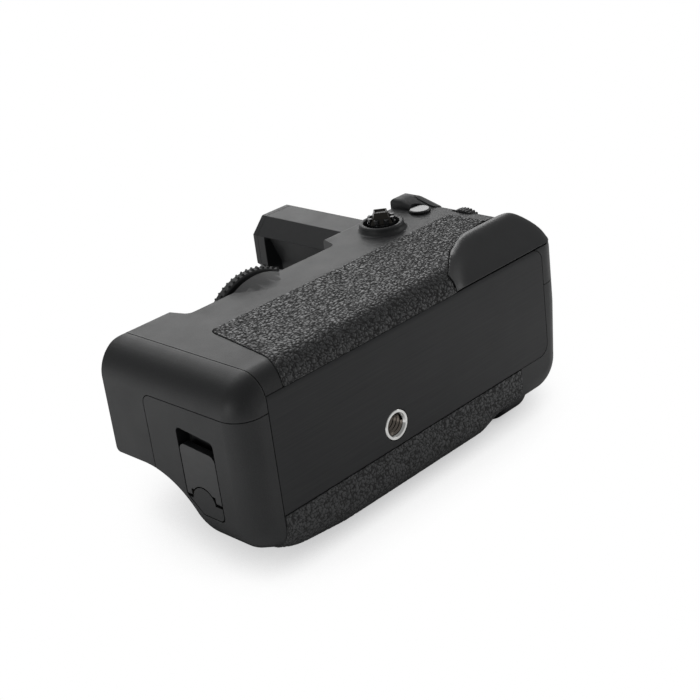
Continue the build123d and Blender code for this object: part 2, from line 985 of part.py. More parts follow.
def make_tripod_socket():
    socket = rod_y(socket_flange_radius, 0, 0, 0, socket_flange_height)
    socket = socket + rod_y(socket_body_radius, 0, 0, 0, socket_depth)
    return socket - rod_y(socket_thread_radius, 0, 0, 0, socket_depth - socket_bottom)


# Attachment wheel group


def make_attachment_wheel():
    rim = Pos(wheel_x, wheel_z) * ribbed_disc(wheel_radius, wheel_rib_depth, wheel_ribs)
    wheel = prism_along_y(rim, wheel_low_y, wheel_high_y)
    dish = rod_y(wheel_radius - wheel_rim, wheel_x, wheel_z, wheel_low_y, wheel_web_low_y)
    dish = dish + rod_y(wheel_radius - wheel_rim, wheel_x, wheel_z, wheel_web_high_y, wheel_high_y)
    dish = dish - rod_y(wheel_hub_radius, wheel_x, wheel_z, wheel_low_y, wheel_high_y)
    return wheel - dish - rod_y(screw_shank_radius, wheel_x, wheel_z, wheel_low_y, wheel_high_y)


def make_attachment_screw():
    shank_high_y = case_height + cushion_thickness
    shank = rod_y(screw_shank_radius, wheel_x, wheel_z, screw_tail_low_y, shank_high_y)
    thread = rod_y(screw_radius, wheel_x, wheel_z, shank_high_y, case_height + screw_reach)
    return shank + chamfer(thread.faces().sort_by(Axis.Y)[-1].edges(), screw_tip_chamfer)


def make_screw_clip():
    low_y = bracket_low_y - running_gap - clip_thickness
    clip = rod_y(clip_radius, wheel_x, wheel_z, low_y, low_y + clip_thickness)
    return clip - rod_y(screw_shank_radius, wheel_x, wheel_z, low_y, low_y + clip_thickness)


def make_attachment_bush():
    low_y = case_height - mating_plate_thickness
    bush = rod_y(bush_radius, wheel_x, wheel_z, low_y, case_height)
    bush = bush + rod_y(bush_flange_radius, wheel_x, wheel_z, case_height, case_height + bush_flange_height)
    return bush - rod_y(screw_shank_radius + running_gap, wheel_x, wheel_z, low_y, case_height + overrun)


def make_wheel_bracket():
    """The bridge that carries the screw's inner end, seated on the chamber and the rear cover."""
    plate = block(
        (wheel_x - bracket_half_width, wheel_x + bracket_half_width),
        (bracket_low_y, bracket_high_y),
        (wheel_z - bracket_half_depth, rear_z - wall),
    )
    inner_step_y = screen_step_y - wall
    plate = plate - block(
        (wheel_x - bracket_half_width, wheel_x + bracket_half_width),
        (inner_step_y, bracket_high_y),
        (screen_step_z - wall, rear_z),
    )
    leg_width = wall + bracket_high_y - bracket_low_y
    for side in (-1, 1):
        edge = wheel_x + side * bracket_half_width
        low_x, high_x = sorted((edge, edge - side * leg_width))
        plate = plate + block(
            (low_x, high_x),
            (chamber_high_y, bracket_low_y),
            (wheel_z - bracket_half_depth, wheel_z),
        )
    return plate - rod_y(screw_shank_radius + running_gap, wheel_x, wheel_z, bracket_low_y, bracket_high_y)


# Battery chamber, tray and door


def make_battery_chamber():
    room = block(
        (door_seam_x, chamber_end_x - chamber_wall),
        (chamber_low_y + chamber_wall, chamber_high_y - chamber_wall),
        (chamber_low_z + chamber_wall, chamber_high_z - chamber_wall),
    )
    chamber = chamber_outer() - room
    for x in (board_left_x + board_post_radius, board_wing_left_x):
        for y in (board_low_y + 2 * board_post_radius, board_high_y - 3 * board_post_radius):
            post_top = board_top_z - board_thickness
            chamber = chamber + rod_z(board_post_radius, x, y, chamber_high_z - chamber_wall / 2, post_top)
    return chamber


def tray_spans():
    """The tray's outer size: X, Y and Z from low to high."""
    inset = chamber_wall + tray_clearance
    return (
        (door_seam_x, chamber_end_x - chamber_wall - tray_end_gap),
        (chamber_low_y + inset, chamber_high_y - inset),
        (chamber_low_z + inset, chamber_high_z - inset),
    )


def bay_spans(index):
    """One battery bay: X, Y and Z from low to high."""
    (low_x, high_x), (low_y, high_y), (low_z, high_z) = tray_spans()
    length = (high_x - low_x - (bay_count + 1) * tray_rib) / bay_count
    start = low_x + tray_rib + index * (length + tray_rib)
    return (
        (start, start + length),
        (low_y + tray_wall, high_y - tray_wall),
        (low_z + tray_floor, high_z),
    )


def make_battery_tray():
    x_span, y_span, z_span = tray_spans()
    tray = block(x_span, y_span, z_span)
    for index in range(bay_count):
        (low_x, high_x), bay_y, (low_z, high_z) = bay_spans(index)
        tray = tray - block((low_x, high_x), bay_y, (low_z, high_z + overrun))
        window = (low_x + tray_rib, high_x - tray_rib)
        tray = tray - block(window, y_span, (low_z + tray_rail_height, high_z + overrun))
    flange = outer_door_pocket() & block(
        (door_seam_x - tray_flange, door_seam_x),
        (-overrun, case_height),
        (-bulge_depth - overrun, rear_z),
    )
    return tray + flange


def outer_door_pocket():
    """The inside of the door's skin."""
    lip = outline([
        (-overrun, -bulge_depth - overrun, 0),
        (door_top_y - door_skin, -bulge_depth - overrun, 0),
        (door_top_y - door_skin, door_rear_z - door_skin, 0),
        (-overrun, door_rear_z - door_skin, 0),
    ])
    return case_body(door_skin) & prism_along_x(lip, left_x, door_seam_x)


def latch_corners(margin):
    """The latch pocket's outline in Y and Z, moved in by the margin."""
    return [
        (latch_low_y + margin, latch_low_z + margin, flap_corner_round),
        (latch_heel_y, latch_low_z + margin, flap_corner_round),
        (latch_high_y - margin, latch_heel_z + margin, flap_corner_round),
        (latch_high_y - margin, latch_top_z + latch_top_rise - margin, flap_corner_round),
        (latch_low_y + margin, latch_top_z - margin, flap_corner_round),
    ]


def latch_pocket():
    return prism_along_x(outline(latch_corners(0)), left_x - overrun, left_x + latch_pocket_depth)


def latch_pin_x():
    return left_x + flap_thickness / 2


def latch_pin_form(radius):
    ends = (latch_low_y + latch_gap, latch_high_y - latch_gap)
    return rod_y(radius, latch_pin_x(), latch_pin_z, *ends)


def latch_shaft(radius):
    """The part of the hub that passes through the floor of the latch pocket."""
    low_x = left_x + latch_pocket_depth - overrun / 2
    high_x = left_x + latch_pocket_depth + latch_floor
    return rod_x(radius, latch_boss_y, latch_boss_z, low_x, high_x)


def make_battery_door():
    blank = outer & door_region(0)
    hollow = outer_door_pocket() & block(
        (left_x + latch_pocket_depth + latch_floor, door_seam_x),
        (-overrun, case_height),
        (-bulge_depth - overrun, rear_z),
    )
    return blank - hollow - latch_pocket() - latch_shaft(latch_shaft_radius + running_gap)


def make_latch_hub():
    """The turning foot and boss at the lower end of the latch pocket."""
    pocket = outline(latch_corners(latch_gap))
    foot_bounds = outline([
        (latch_low_y, latch_low_z, 0),
        (latch_high_y, latch_low_z, 0),
        (latch_high_y, latch_foot_z, 0),
        (latch_low_y, latch_foot_z, 0),
    ])
    boss = Pos(latch_boss_y, latch_boss_z) * Circle(latch_boss_radius)
    face = pocket & (foot_bounds + boss)
    hub = prism_along_x(face, left_x, left_x + latch_pocket_depth - running_gap)
    return hub + latch_shaft(latch_shaft_radius) - latch_pin_form(latch_pin_radius)


def make_latch_handle():
    corners = [
        (latch_low_y + latch_gap, latch_pin_z, 0),
        (latch_high_y - latch_gap, latch_pin_z, 0),
        (latch_high_y - latch_gap, flap_top_z + flap_top_rise, flap_top_round),
        (latch_low_y + latch_gap, flap_top_z, flap_top_round),
    ]
    flap = prism_along_x(outline(corners), left_x, left_x + flap_thickness)
    flap = flap + latch_pin_form(latch_knuckle_radius)
    reach = latch_boss_radius + latch_gap
    arch = rod_x(reach, latch_boss_y, latch_boss_z, left_x, left_x + latch_pocket_depth)
    notch = block(
        (left_x, left_x + latch_pocket_depth),
        (latch_boss_y - reach, latch_boss_y + reach),
        (latch_boss_z, latch_pin_z + latch_knuckle_radius + latch_gap),
    )
    return flap - arch - notch - latch_pin_form(latch_pin_radius + running_gap)


def make_latch_pin():
    return latch_pin_form(latch_pin_radius)


def make_latch_bolt():
    """The bar behind the pocket's floor that the hub turns behind the case's rim."""
    low_x = left_x + latch_pocket_depth + latch_floor
    return block(
        (low_x, low_x + bolt_thickness),
        (latch_boss_y - bolt_width / 2, latch_boss_y + bolt_width / 2),
        (latch_boss_z - bolt_width / 2, latch_boss_z - bolt_width / 2 + bolt_length),
    )


def make_door_gasket():
    """A rubber ring on the chamber's mouth."""
    inset = chamber_wall
    x_span = (door_seam_x + gasket_gap, door_seam_x + chamber_left_gap)
    ring = block(x_span, (chamber_low_y, chamber_high_y), (chamber_low_z, chamber_high_z))
    hole = block(
        x_span,
        (chamber_low_y + inset, chamber_high_y - inset),
        (chamber_low_z + inset, chamber_high_z - inset),
    )
    return ring - hole


def make_battery_terminals():
    """Sprung contacts on the chamber's end wall."""
    (low_x, high_x), (low_y, high_y), (low_z, high_z) = tray_spans()
    middle_y = (low_y + high_y) / 2
    middle_z = (low_z + high_z) / 2
    blades = []
    for index in range(contact_count):
        y = middle_y + (index - (contact_count - 1) / 2) * contact_pitch
        blades.append(block(
            (high_x + tray_clearance, chamber_end_x - chamber_wall),
            (y - contact_width / 2, y + contact_width / 2),
            (middle_z - contact_length / 2, middle_z + contact_length / 2),
        ))
    return blades


def make_tray_contacts():
    """Brass strips in the bays' end walls, where a pack's terminals land."""
    strips = []
    for bay in range(bay_count):
        (low_x, high_x), (low_y, high_y), (low_z, high_z) = bay_spans(bay)
        middle_y = (low_y + high_y) / 2
        for index in range(contact_count):
            y = middle_y + (index - (contact_count - 1) / 2) * contact_pitch
            strips.append(block(
                (high_x - contact_thickness, high_x),
                (y - contact_width / 2, y + contact_width / 2),
                (low_z + contact_inset / 2, low_z + contact_inset / 2 + contact_length),
            ))
    return strips


# Electronics


def make_circuit_board():
    low_z = board_top_z - board_thickness
    board = block((board_left_x, board_right_x), (board_low_y, board_high_y), (low_z, board_top_z))
    wing = block(
        (board_wing_left_x, board_wing_right_x),
        (rear_dial_y + rear_dial_radius + 2 * dial_gap, board_wing_high_y),
        (low_z, board_top_z),
    )
    return board + wing


def make_tower_ribbon():
    """A flat flexible cable from under the board's edge up into the tower's end cap."""
    middle_x = tower_left_x + tower_width / 2
    high_z = board_top_z - board_thickness
    return block(
        (middle_x - ribbon_width / 2, middle_x + ribbon_width / 2),
        (board_wing_high_y - contact_inset, tower_top_y - 2 * tower_cap_height),
        (high_z - ribbon_thickness, high_z),
    )


def make_tactile_switches():
    high_z = rear_z - wall - seam_gap - button_flange_height - switch_gap
    half = switch_side / 2
    switches = []
    for x, y in ((afon_x, afon_y), (function_x, function_y)):
        high_x = min(x + half, board_wing_right_x)
        switches.append(block((high_x - switch_side, high_x), (y - half, y + half), (board_top_z, high_z)))
    return switches


# Joystick


def make_joystick_bezel():
    """A raised collar whose foot flares out into the rear face."""
    half_height = bezel_height / 2
    step = (bezel_foot_radius - bezel_top_radius) / 2
    profile = outline([
        (bezel_hole_radius, rear_z, 0),
        (bezel_foot_radius, rear_z, 0),
        (bezel_foot_radius, rear_z + half_height / 2, half_height / 2 - seam_gap),
        (bezel_foot_radius - step, rear_z + half_height / 2, 0),
        (bezel_top_radius, rear_z + bezel_height, bezel_round),
        (bezel_hole_radius, rear_z + bezel_height, 0),
    ])
    ring = revolve(Plane.XZ * profile, Axis.Z)
    return Pos(stick_x, stick_y, 0) * ring


def make_joystick_base():
    half = stick_base_side / 2
    base = block(
        (stick_x - half, stick_x + half),
        (stick_y - half, stick_y + half),
        (board_top_z, board_top_z + board_thickness / 2),
    )
    for side in (-1, 1):
        edge = stick_x + side * half
        low_x, high_x = sorted((edge, edge - side * stick_ear_thickness))
        base = base + block(
            (low_x, high_x),
            (stick_y - gimbal_inner, stick_y + gimbal_inner),
            (board_top_z, board_top_z + stick_ear_height),
        )
    return base - rod_x(gimbal_pin_radius + running_gap, stick_y, stick_pivot_z, stick_x - half, stick_x + half)


def make_joystick_gimbal():
    half = gimbal_height / 2
    ring = rod_z(gimbal_outer, stick_x, stick_y, stick_pivot_z - half, stick_pivot_z + half)
    ring = ring - rod_z(gimbal_inner, stick_x, stick_y, stick_pivot_z - half, stick_pivot_z + half)
    for side in (-1, 1):
        tip = stick_x + side * (stick_base_side / 2 - running_gap)
        root = stick_x + side * (gimbal_inner + gimbal_outer) / 2
        low_x, high_x = sorted((root, tip))
        ring = ring + rod_x(gimbal_pin_radius, stick_y, stick_pivot_z, low_x, high_x)
    return ring - rod_y(
        gimbal_pin_radius + running_gap,
        stick_x,
        stick_pivot_z,
        stick_y - gimbal_outer,
        stick_y + gimbal_outer,
    )


def make_joystick_stem():
    foot_z = stick_pivot_z - gimbal_height / 2
    stem = rod_z(stick_stem_radius, stick_x, stick_y, foot_z, stick_stem_top_z)
    reach = (gimbal_inner + gimbal_outer) / 2
    return stem + rod_y(gimbal_pin_radius, stick_x, stick_pivot_z, stick_y - reach, stick_y + reach)


def make_joystick_cap():
    """A tapered square cap on a disc with upright claws round its rim."""
    cap = rod_z(stick_disc_radius, stick_x, stick_y, stick_disc_low_z, stick_disc_high_z)
    middle_radius = stick_disc_radius - stick_claw_depth / 2 - running_gap
    claw = Pos(middle_radius, 0, stick_claw_height / 2) * Box(stick_claw_depth, stick_claw_width, stick_claw_height)
    for index in range(stick_claws):
        turn = Rot(0, 0, 360 * (index + 1 / 2) / stick_claws)
        cap = cap + Pos(stick_x, stick_y, stick_disc_high_z) * turn * claw
    foot = Plane.XY.offset(stick_disc_high_z) * Pos(stick_x, stick_y) * Rectangle(stick_cap_side, stick_cap_side)
    cap = cap + extrude(foot, stick_cap_top_z - stick_disc_high_z, taper=stick_cap_taper)
    bore_top = stick_stem_top_z + stick_press + running_gap
    return cap - rod_z(stick_stem_radius + running_gap, stick_x, stick_y, stick_disc_low_z, bore_top)


# Buttons


def make_afon_button():
    top_z = rear_z + afon_proud
    cap = rod_z(afon_radius, afon_x, afon_y, rear_z - wall - button_flange_height, top_z)
    cap = fillet(cap.faces().sort_by(Axis.Z)[-1].edges(), button_crown)
    flange_top = rear_z - wall - seam_gap
    flange = rod_z(afon_radius + button_flange, afon_x, afon_y, flange_top - button_flange_height, flange_top)
    return cap + flange


def make_function_button():
    """A button whose top follows the shoulder hump."""
    low_z = rear_z - wall - seam_gap - button_flange_height
    return function_prism(0, low_z, rear_z + hump_height + overrun) & (Pos(0, 0, function_proud) * outer)


# Dials


def dial(y, z, radius, low_x, high_x):
    rim = Pos(y, z) * ribbed_disc(radius, dial_rib_depth, dial_ribs)
    body = prism_along_x(rim, low_x, high_x)
    return body - rod_x(dial_shaft_radius, y, z, low_x, high_x)


def make_rear_dial():
    high_x = rear_dial_left_x + rear_dial_width
    return dial(rear_dial_y, rear_dial_z, rear_dial_radius, rear_dial_left_x, high_x)


def rear_dial_reach():
    """How far the rear dial's shaft runs, from its bracket into the right wall."""
    return rear_dial_left_x - dial_gap - dial_bracket_thickness, right_x - wall / 2


def rear_dial_bore():
    """The blind hole in the right wall that carries the shaft's outer end."""
    low_x = rear_dial_left_x + rear_dial_width
    return rod_x(dial_shaft_radius + running_gap, rear_dial_y, rear_dial_z, low_x, right_x - wall / 2)


def make_rear_dial_shaft():
    low_x, high_x = rear_dial_reach()
    return rod_x(dial_shaft_radius, rear_dial_y, rear_dial_z, low_x, high_x - running_gap)


def make_rear_dial_bracket():
    """A post that carries the shaft's inner end, on a foot that reaches the right wall."""
    low_x = rear_dial_reach()[0]
    high_x = low_x + dial_bracket_thickness
    half = 2 * dial_shaft_radius
    y_span = (rear_dial_y - half, rear_dial_y + half)
    low_z = rear_dial_z - rear_dial_radius - 2 * dial_gap - dial_bracket_thickness
    post = block((low_x, high_x), y_span, (low_z, rear_dial_z + dial_shaft_radius + dial_gap))
    foot = block((low_x, right_x - wall), y_span, (low_z, low_z + dial_bracket_thickness))
    bore = rod_x(dial_shaft_radius + running_gap, rear_dial_y, rear_dial_z, low_x, high_x)
    return post + foot - bore


def make_front_dial():
    y, z = front_dial_centre()
    middle_x = front_housing_left_x + front_housing_length / 2
    return dial(y, z, front_dial_radius, middle_x - front_dial_width / 2, middle_x + front_dial_width / 2)


def make_front_dial_shaft():
    y, z = front_dial_centre()
    middle_x = front_housing_left_x + front_housing_length / 2
    half = front_dial_reach / 2
    return rod_x(dial_shaft_radius, y, z, middle_x - half, middle_x + half)


# Shutter release


def shutter_switch_x():
    """Where the switch's face lies, behind the pressed shutter button."""
    return right_x - shutter_pad_depth - shutter_travel - seam_gap


def make_shutter_collar():
    """The fixed sleeve that guides the shutter button, carries the lever ring and holds the switch."""
    low_x = shutter_switch_x()
    high_x = right_x + shutter_pad_proud + ring_height + collar_reach
    collar = rod_x(collar_radius, shutter_y, shutter_z, low_x, high_x)
    return collar - rod_x(shutter_radius - wall / 2, shutter_y, shutter_z, low_x, high_x)


def make_shutter_button():
    low_x = right_x - shutter_pad_depth
    guide = shutter_radius - wall / 2 - running_gap
    high_x = right_x + shutter_pad_proud + shutter_proud + shutter_travel
    button = rod_x(guide, shutter_y, shutter_z, low_x, high_x)
    return fillet(button.faces().sort_by(Axis.X)[-1].edges(), button_crown)


def make_power_ring():
    low_x = right_x + shutter_pad_proud + running_gap
    high_x = low_x + ring_height
    ring = rod_x(ring_outer_radius, shutter_y, shutter_z, low_x, high_x)
    lever = block(
        (low_x, high_x),
        (shutter_y, shutter_y + ring_lever_reach),
        (shutter_z - ring_lever_width / 2, shutter_z + ring_lever_width / 2),
    )
    return ring + lever - rod_x(collar_radius + running_gap, shutter_y, shutter_z, low_x, high_x)


def make_shutter_switch():
    """The two-stage switch behind the shutter button, on its carrier."""
    high_x = shutter_switch_x()
    low_x = high_x - wall
    half = shutter_radius
    return block((low_x, high_x), (shutter_y - half, shutter_y + half), (shutter_z - half, shutter_z + half))


# Fasteners


def screw_form(x, z, growth):
    """One screw of the mating plate, before its recess is cut."""
    head_low = case_height - fastener_head_height
    screw = rod_y(fastener_head_radius + growth, x, z, head_low - growth, case_height)
    shank_low = head_low - fastener_shank_length - growth
    return screw + rod_y(fastener_shank_radius + growth, x, z, shank_low, head_low)


def make_case_screws():
    """Screws that hold the mating plate, heads sunk flush in it."""
    screws = []
    for x, z in left_screw_places() + front_screw_places() + rear_screw_places():
        recess = Pos(x, z) * RegularPolygon(fastener_recess_radius, fastener_recess_sides)
        recess = prism_along_y(recess, case_height - fastener_recess, case_height)
        screws.append(screw_form(x, z, 0) - recess)
    return screws


nodes = {
    "rear_cover": make_rear_cover,
    "front_shell": make_front_shell,
    "left_side_cover": make_left_side_cover,
    "bottom_plate": make_bottom_plate,
    "mating_plate": make_mating_plate,
    "rear_grip_pad": make_rear_grip_pad,
    "front_grip_pad": make_front_grip_pad,
    "thumb_rest": make_thumb_rest,
    "front_dial_housing": make_front_dial_housing,
    "shutter_housing": make_shutter_housing,
    "tower_shell": make_tower_shell,
    "tower_end_cap": make_tower_end_cap,
    "tower_contacts": make_tower_contacts,
    "mating_cushion": make_mating_cushion,
    "locating_pins": make_locating_pins,
    "tripod_socket": make_tripod_socket,
    "attachment_wheel": make_attachment_wheel,
    "attachment_screw": make_attachment_screw,
    "screw_clip": make_screw_clip,
    "attachment_bush": make_attachment_bush,
    "wheel_bracket": make_wheel_bracket,
    "battery_chamber": make_battery_chamber,
    "battery_tray": make_battery_tray,
    "battery_door": make_battery_door,
    "latch_hub": make_latch_hub,
    "latch_handle": make_latch_handle,
    "latch_pin": make_latch_pin,
    "latch_bolt": make_latch_bolt,
    "door_gasket": make_door_gasket,
    "battery_terminals": make_battery_terminals,
    "tray_contacts": make_tray_contacts,
    "circuit_board": make_circuit_board,
    "tower_ribbon": make_tower_ribbon,
    "tactile_switches": make_tactile_switches,
    "joystick_bezel": make_joystick_bezel,
    "joystick_base": make_joystick_base,
    "joystick_gimbal": make_joystick_gimbal,
    "joystick_stem": make_joystick_stem,
    "joystick_cap": make_joystick_cap,
    "afon_button": make_afon_button,
    "function_button": make_function_button,
    "rear_dial": make_rear_dial,
    "rear_dial_shaft": make_rear_dial_shaft,
    "rear_dial_bracket": make_rear_dial_bracket,
    "front_dial": make_front_dial,
    "front_dial_shaft": make_front_dial_shaft,
    "shutter_collar": make_shutter_collar,
    "shutter_button": make_shutter_button,
    "power_ring": make_power_ring,
    "shutter_switch": make_shutter_switch,
    "case_screws": make_case_screws,
}

os.makedirs("parts", exist_ok=True)
for name, make in nodes.items():
    made = make()
    solids = [solid for piece in (made if isinstance(made, list) else [made]) for solid in piece.solids()]
    export_step(Compound(children=solids) if len(solids) > 1 else solids[0], "parts/" + name + ".step")
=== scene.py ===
import json
import math

import bpy
from mathutils import Matrix, Vector, noise
from mathutils.bvhtree import BVHTree


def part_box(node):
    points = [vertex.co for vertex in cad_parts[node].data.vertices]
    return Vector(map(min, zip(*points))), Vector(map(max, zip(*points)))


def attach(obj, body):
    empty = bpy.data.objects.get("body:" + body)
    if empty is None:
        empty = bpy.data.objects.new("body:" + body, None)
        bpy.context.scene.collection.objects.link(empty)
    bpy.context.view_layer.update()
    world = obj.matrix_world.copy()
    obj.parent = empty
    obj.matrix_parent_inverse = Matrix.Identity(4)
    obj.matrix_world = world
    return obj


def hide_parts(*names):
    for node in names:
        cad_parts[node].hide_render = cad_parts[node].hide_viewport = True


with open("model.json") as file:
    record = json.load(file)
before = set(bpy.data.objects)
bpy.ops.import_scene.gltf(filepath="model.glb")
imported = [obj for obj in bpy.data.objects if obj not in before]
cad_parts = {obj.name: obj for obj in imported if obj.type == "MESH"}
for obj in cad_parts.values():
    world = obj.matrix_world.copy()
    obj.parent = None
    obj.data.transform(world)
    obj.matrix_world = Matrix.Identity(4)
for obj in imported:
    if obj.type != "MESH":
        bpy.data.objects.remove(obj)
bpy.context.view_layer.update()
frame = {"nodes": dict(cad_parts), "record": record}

bl_info = {
    "name": "Battery grip finish",
    "version": (1, 0, 0),
    "blender": (4, 5, 0),
    "location": "View3D > Sidebar > Grip",
    "description": "Dresses a camera battery grip: casings, leathered pads, bush, wheel, stick and stage",
    "category": "Object",
}

MM = 0.001
NODE_SLOT = {part["node"]: part["material_slot"] for part in frame["record"]["subparts"]}


def linear(hex_colour):
    """An sRGB hex colour as linear red, green, blue."""
    channels = [int(hex_colour[i:i + 2], 16) / 255 for i in (1, 3, 5)]
    return tuple(c / 12.92 if c <= 0.04045 else ((c + 0.055) / 1.055) ** 2.4 for c in channels)


def colour_prop(name, description, hex_colour):
    """A colour of the panel, from an sRGB hex colour."""
    return bpy.props.FloatVectorProperty(
        name=name, description=description, subtype="COLOR", size=3, min=0, max=1, default=linear(hex_colour)
    )


def length_prop(name, description, millimetres):
    """A length of the panel, given in millimetres and kept in metres."""
    return bpy.props.FloatProperty(
        name=name, description=description, default=millimetres * MM, min=0, unit="LENGTH", subtype="DISTANCE"
    )


class GripColours(bpy.types.PropertyGroup):
    """Colours of the grip's finishes"""
    case: colour_prop("Case", "Moulded case plastic", "#202122")
    case_light: colour_prop("Case, lighter specks", "Where the case's fine texture catches light", "#2a2b2c")
    plate: colour_prop("Plate", "Satin bottom plate", "#1d1e20")
    smooth: colour_prop("Smooth plastic", "Thumb rest and latch flap", "#242526")
    leather: colour_prop("Leather tops", "Tops of the leather grain", "#2b2c2d")
    # Painted shade: the wrinkles between the grains are coloured near black, where they would lie in shadow
    groove_shade: colour_prop("Leather groove shade", "Painted shade in the wrinkles between the grains", "#070707")
    rubber: colour_prop("Rubber", "Wheel tyre and cushions", "#232424")
    button: colour_prop("Button", "Polished button tops", "#2b2c2e")
    stick: colour_prop("Stick", "Brown-black stick cap", "#2b2519")
    floor: colour_prop("Floor", "Pale studio floor, as the parts see it", "#9a9a9a")


class GripSizes(bpy.types.PropertyGroup):
    """Sizes of the detail that the finish adds"""
    edge: length_prop("Edge softening", "Width of the softened edges of moulded parts", 0.16)
    grain: length_prop("Leather grain", "Distance between two grains of the pads", 1.12)
    relief: length_prop("Leather relief", "Depth of the wrinkles between grains", 0.2)
    pad_mesh: length_prop("Pad mesh", "Edge length of the pads' mesh", 0.24)
    thumb_mesh: length_prop("Thumb rest mesh", "Edge length of the thumb rest's mesh", 0.32)
    thread_pitch: length_prop("Thread pitch", "A quarter inch thread with 20 turns per inch", 1.27)
    thread_depth: length_prop("Thread depth", "From crest to root of the thread", 0.55)
    mouth: length_prop("Bush mouth radius", "Inner edge of the bush's bright ring", 3.5)


def sizes():
    """The scene's set of sizes."""
    return bpy.context.scene.grip_sizes


def colours():
    """The scene's set of colours."""
    return bpy.context.scene.grip_colours


# Material helpers


def add(tree, kind, inputs=None, **settings):
    """Adds a node with its settings; inputs are values, or outputs of other nodes, by socket."""
    made = tree.nodes.new(kind)
    for name, value in settings.items():
        setattr(made, name, value)
    for socket, value in (inputs or {}).items():
        if isinstance(value, bpy.types.NodeSocket):
            tree.links.new(value, made.inputs[socket])
        else:
            made.inputs[socket].default_value = value
    return made


def new_material(name):
    """An empty material and its node tree."""
    material = bpy.data.materials.new(name)
    material.use_nodes = True
    material.node_tree.nodes.clear()
    return material, material.node_tree


def close(tree, inputs):
    """The Principled shader and the output that end a material."""
    surface = add(tree, "ShaderNodeBsdfPrincipled", inputs)
    add(tree, "ShaderNodeOutputMaterial", {"Surface": surface.outputs[0]})


def rgba(colour):
    """A colour with full opacity."""
    return (*colour, 1.0)


def coords(tree, stretch=(1, 1, 1)):
    """Object coordinates, in metres, stretched along an axis where a pattern runs."""
    place = add(tree, "ShaderNodeTexCoord")
    return add(tree, "ShaderNodeMapping", {"Vector": place.outputs["Object"], "Scale": stretch}).outputs[0]


def speckle(tree, grain_mm, stretch=(1, 1, 1), detail=3.0):
    """Noise whose features are as wide as the grain."""
    return add(
        tree,
        "ShaderNodeTexNoise",
        {"Vector": coords(tree, stretch), "Scale": 1 / (grain_mm * MM), "Detail": detail, "Roughness": 0.6},
    ).outputs["Fac"]


def ramp(tree, factor, low, high, dark, light):
    """A colour ramp between two places of a factor."""
    made = add(tree, "ShaderNodeValToRGB", {"Fac": factor})
    made.color_ramp.elements[0].position = low
    made.color_ramp.elements[0].color = rgba(dark)
    made.color_ramp.elements[1].position = high
    made.color_ramp.elements[1].color = rgba(light)
    return made.outputs["Color"]


def spread(tree, factor, low, high):
    """Maps a factor onto a range, such as a range of roughness."""
    return add(tree, "ShaderNodeMapRange", {"Value": factor, "To Min": low, "To Max": high}).outputs["Result"]


def bump(tree, height, depth_mm):
    """A normal that follows a height, as deep as the distance in millimetres."""
    inputs = {"Height": height, "Distance": depth_mm * MM, "Strength": 1.0}
    return add(tree, "ShaderNodeBump", inputs).outputs["Normal"]


# Materials


def moulded_polycarbonate():
    """Glass-filled polycarbonate from a spark-eroded mould: an even, fine-grained, softly shining black.

    The real texture is about 0.1 mm wide; it is drawn at 0.32 mm so that it shows.
    """
    material, tree = new_material("Spark-eroded black polycarbonate")
    fine = speckle(tree, 0.32, detail=2.0)
    cloud = speckle(tree, 9.0)
    colour = ramp(tree, fine, 0.35, 0.75, colours().case, colours().case_light)
    close(tree, {
        "Base Color": colour,
        "Roughness": spread(tree, cloud, 0.42, 0.56),
        "Specular IOR Level": 0.42,
        "IOR": 1.5,
        "Normal": bump(tree, fine, 0.03),
    })
    return material


def satin_plate():
    """Moulded ABS with a satin face: smoother than the case, with faint streaks along the grip."""
    material, tree = new_material("Satin moulded black ABS")
    streak = speckle(tree, 0.5, stretch=(0.02, 1, 1), detail=4.0)
    cloud = speckle(tree, 14.0)
    colour = ramp(tree, streak, 0.35, 0.8, colours().plate, colours().case_light)
    close(tree, {
        "Base Color": colour,
        "Roughness": spread(tree, cloud, 0.36, 0.48),
        "Specular IOR Level": 0.3,
        "IOR": 1.5,
        "Normal": bump(tree, streak, 0.006),
    })
    return material


def smooth_abs():
    """Moulded ABS with no texture: broad soft highlights and the odd fine rub mark."""
    material, tree = new_material("Smooth moulded black ABS")
    rub = speckle(tree, 0.9, stretch=(1, 0.25, 1))
    cloud = speckle(tree, 6.0)
    close(tree, {
        "Base Color": ramp(tree, cloud, 0.3, 0.75, colours().smooth, colours().case_light),
        "Roughness": spread(tree, rub, 0.34, 0.5),
        "IOR": 1.54,
        "Normal": bump(tree, speckle(tree, 0.4), 0.008),
    })
    return material


def leathered_rubber():
    """Calendered rubber sheet with a pressed leather grain: softly shining grey tops, and wrinkles painted
    near black as painted shade.
    """
    material, tree = new_material("Leather-grained black rubber")
    groove = add(tree, "ShaderNodeAttribute", attribute_name="grain").outputs["Fac"]
    wrinkle = speckle(tree, 0.4, detail=3.0)
    # The grain's height paints the wrinkles near black: painted shade in the grooves, on top of their real
    # relief
    colour = ramp(tree, groove, 0.1, 0.75, colours().groove_shade, colours().leather)
    close(tree, {
        "Base Color": colour,
        "Roughness": spread(tree, groove, 0.95, 0.38),
        "Specular IOR Level": 0.75,
        "IOR": 1.5,
        "Normal": bump(tree, wrinkle, 0.05),
    })
    return material


def plain_rubber():
    """Compression-moulded nitrile rubber: matt, with a faint bloom of dust."""
    material, tree = new_material("Moulded black nitrile rubber")
    bloom = speckle(tree, 3.0)
    close(tree, {
        "Base Color": ramp(tree, bloom, 0.35, 0.8, colours().case, colours().rubber),
        "Roughness": spread(tree, bloom, 0.55, 0.75),
        "IOR": 1.52,
        "Normal": bump(tree, speckle(tree, 0.3), 0.02),
    })
    return material


def polished_button():
    """Polished polycarbonate: a small clear highlight on a black button."""
    material, tree = new_material("Polished black polycarbonate")
    haze = speckle(tree, 1.2)
    close(tree, {
        "Base Color": ramp(tree, haze, 0.3, 0.8, colours().case, colours().button),
        "Roughness": spread(tree, haze, 0.1, 0.24),
        "IOR": 1.58,
    })
    return material


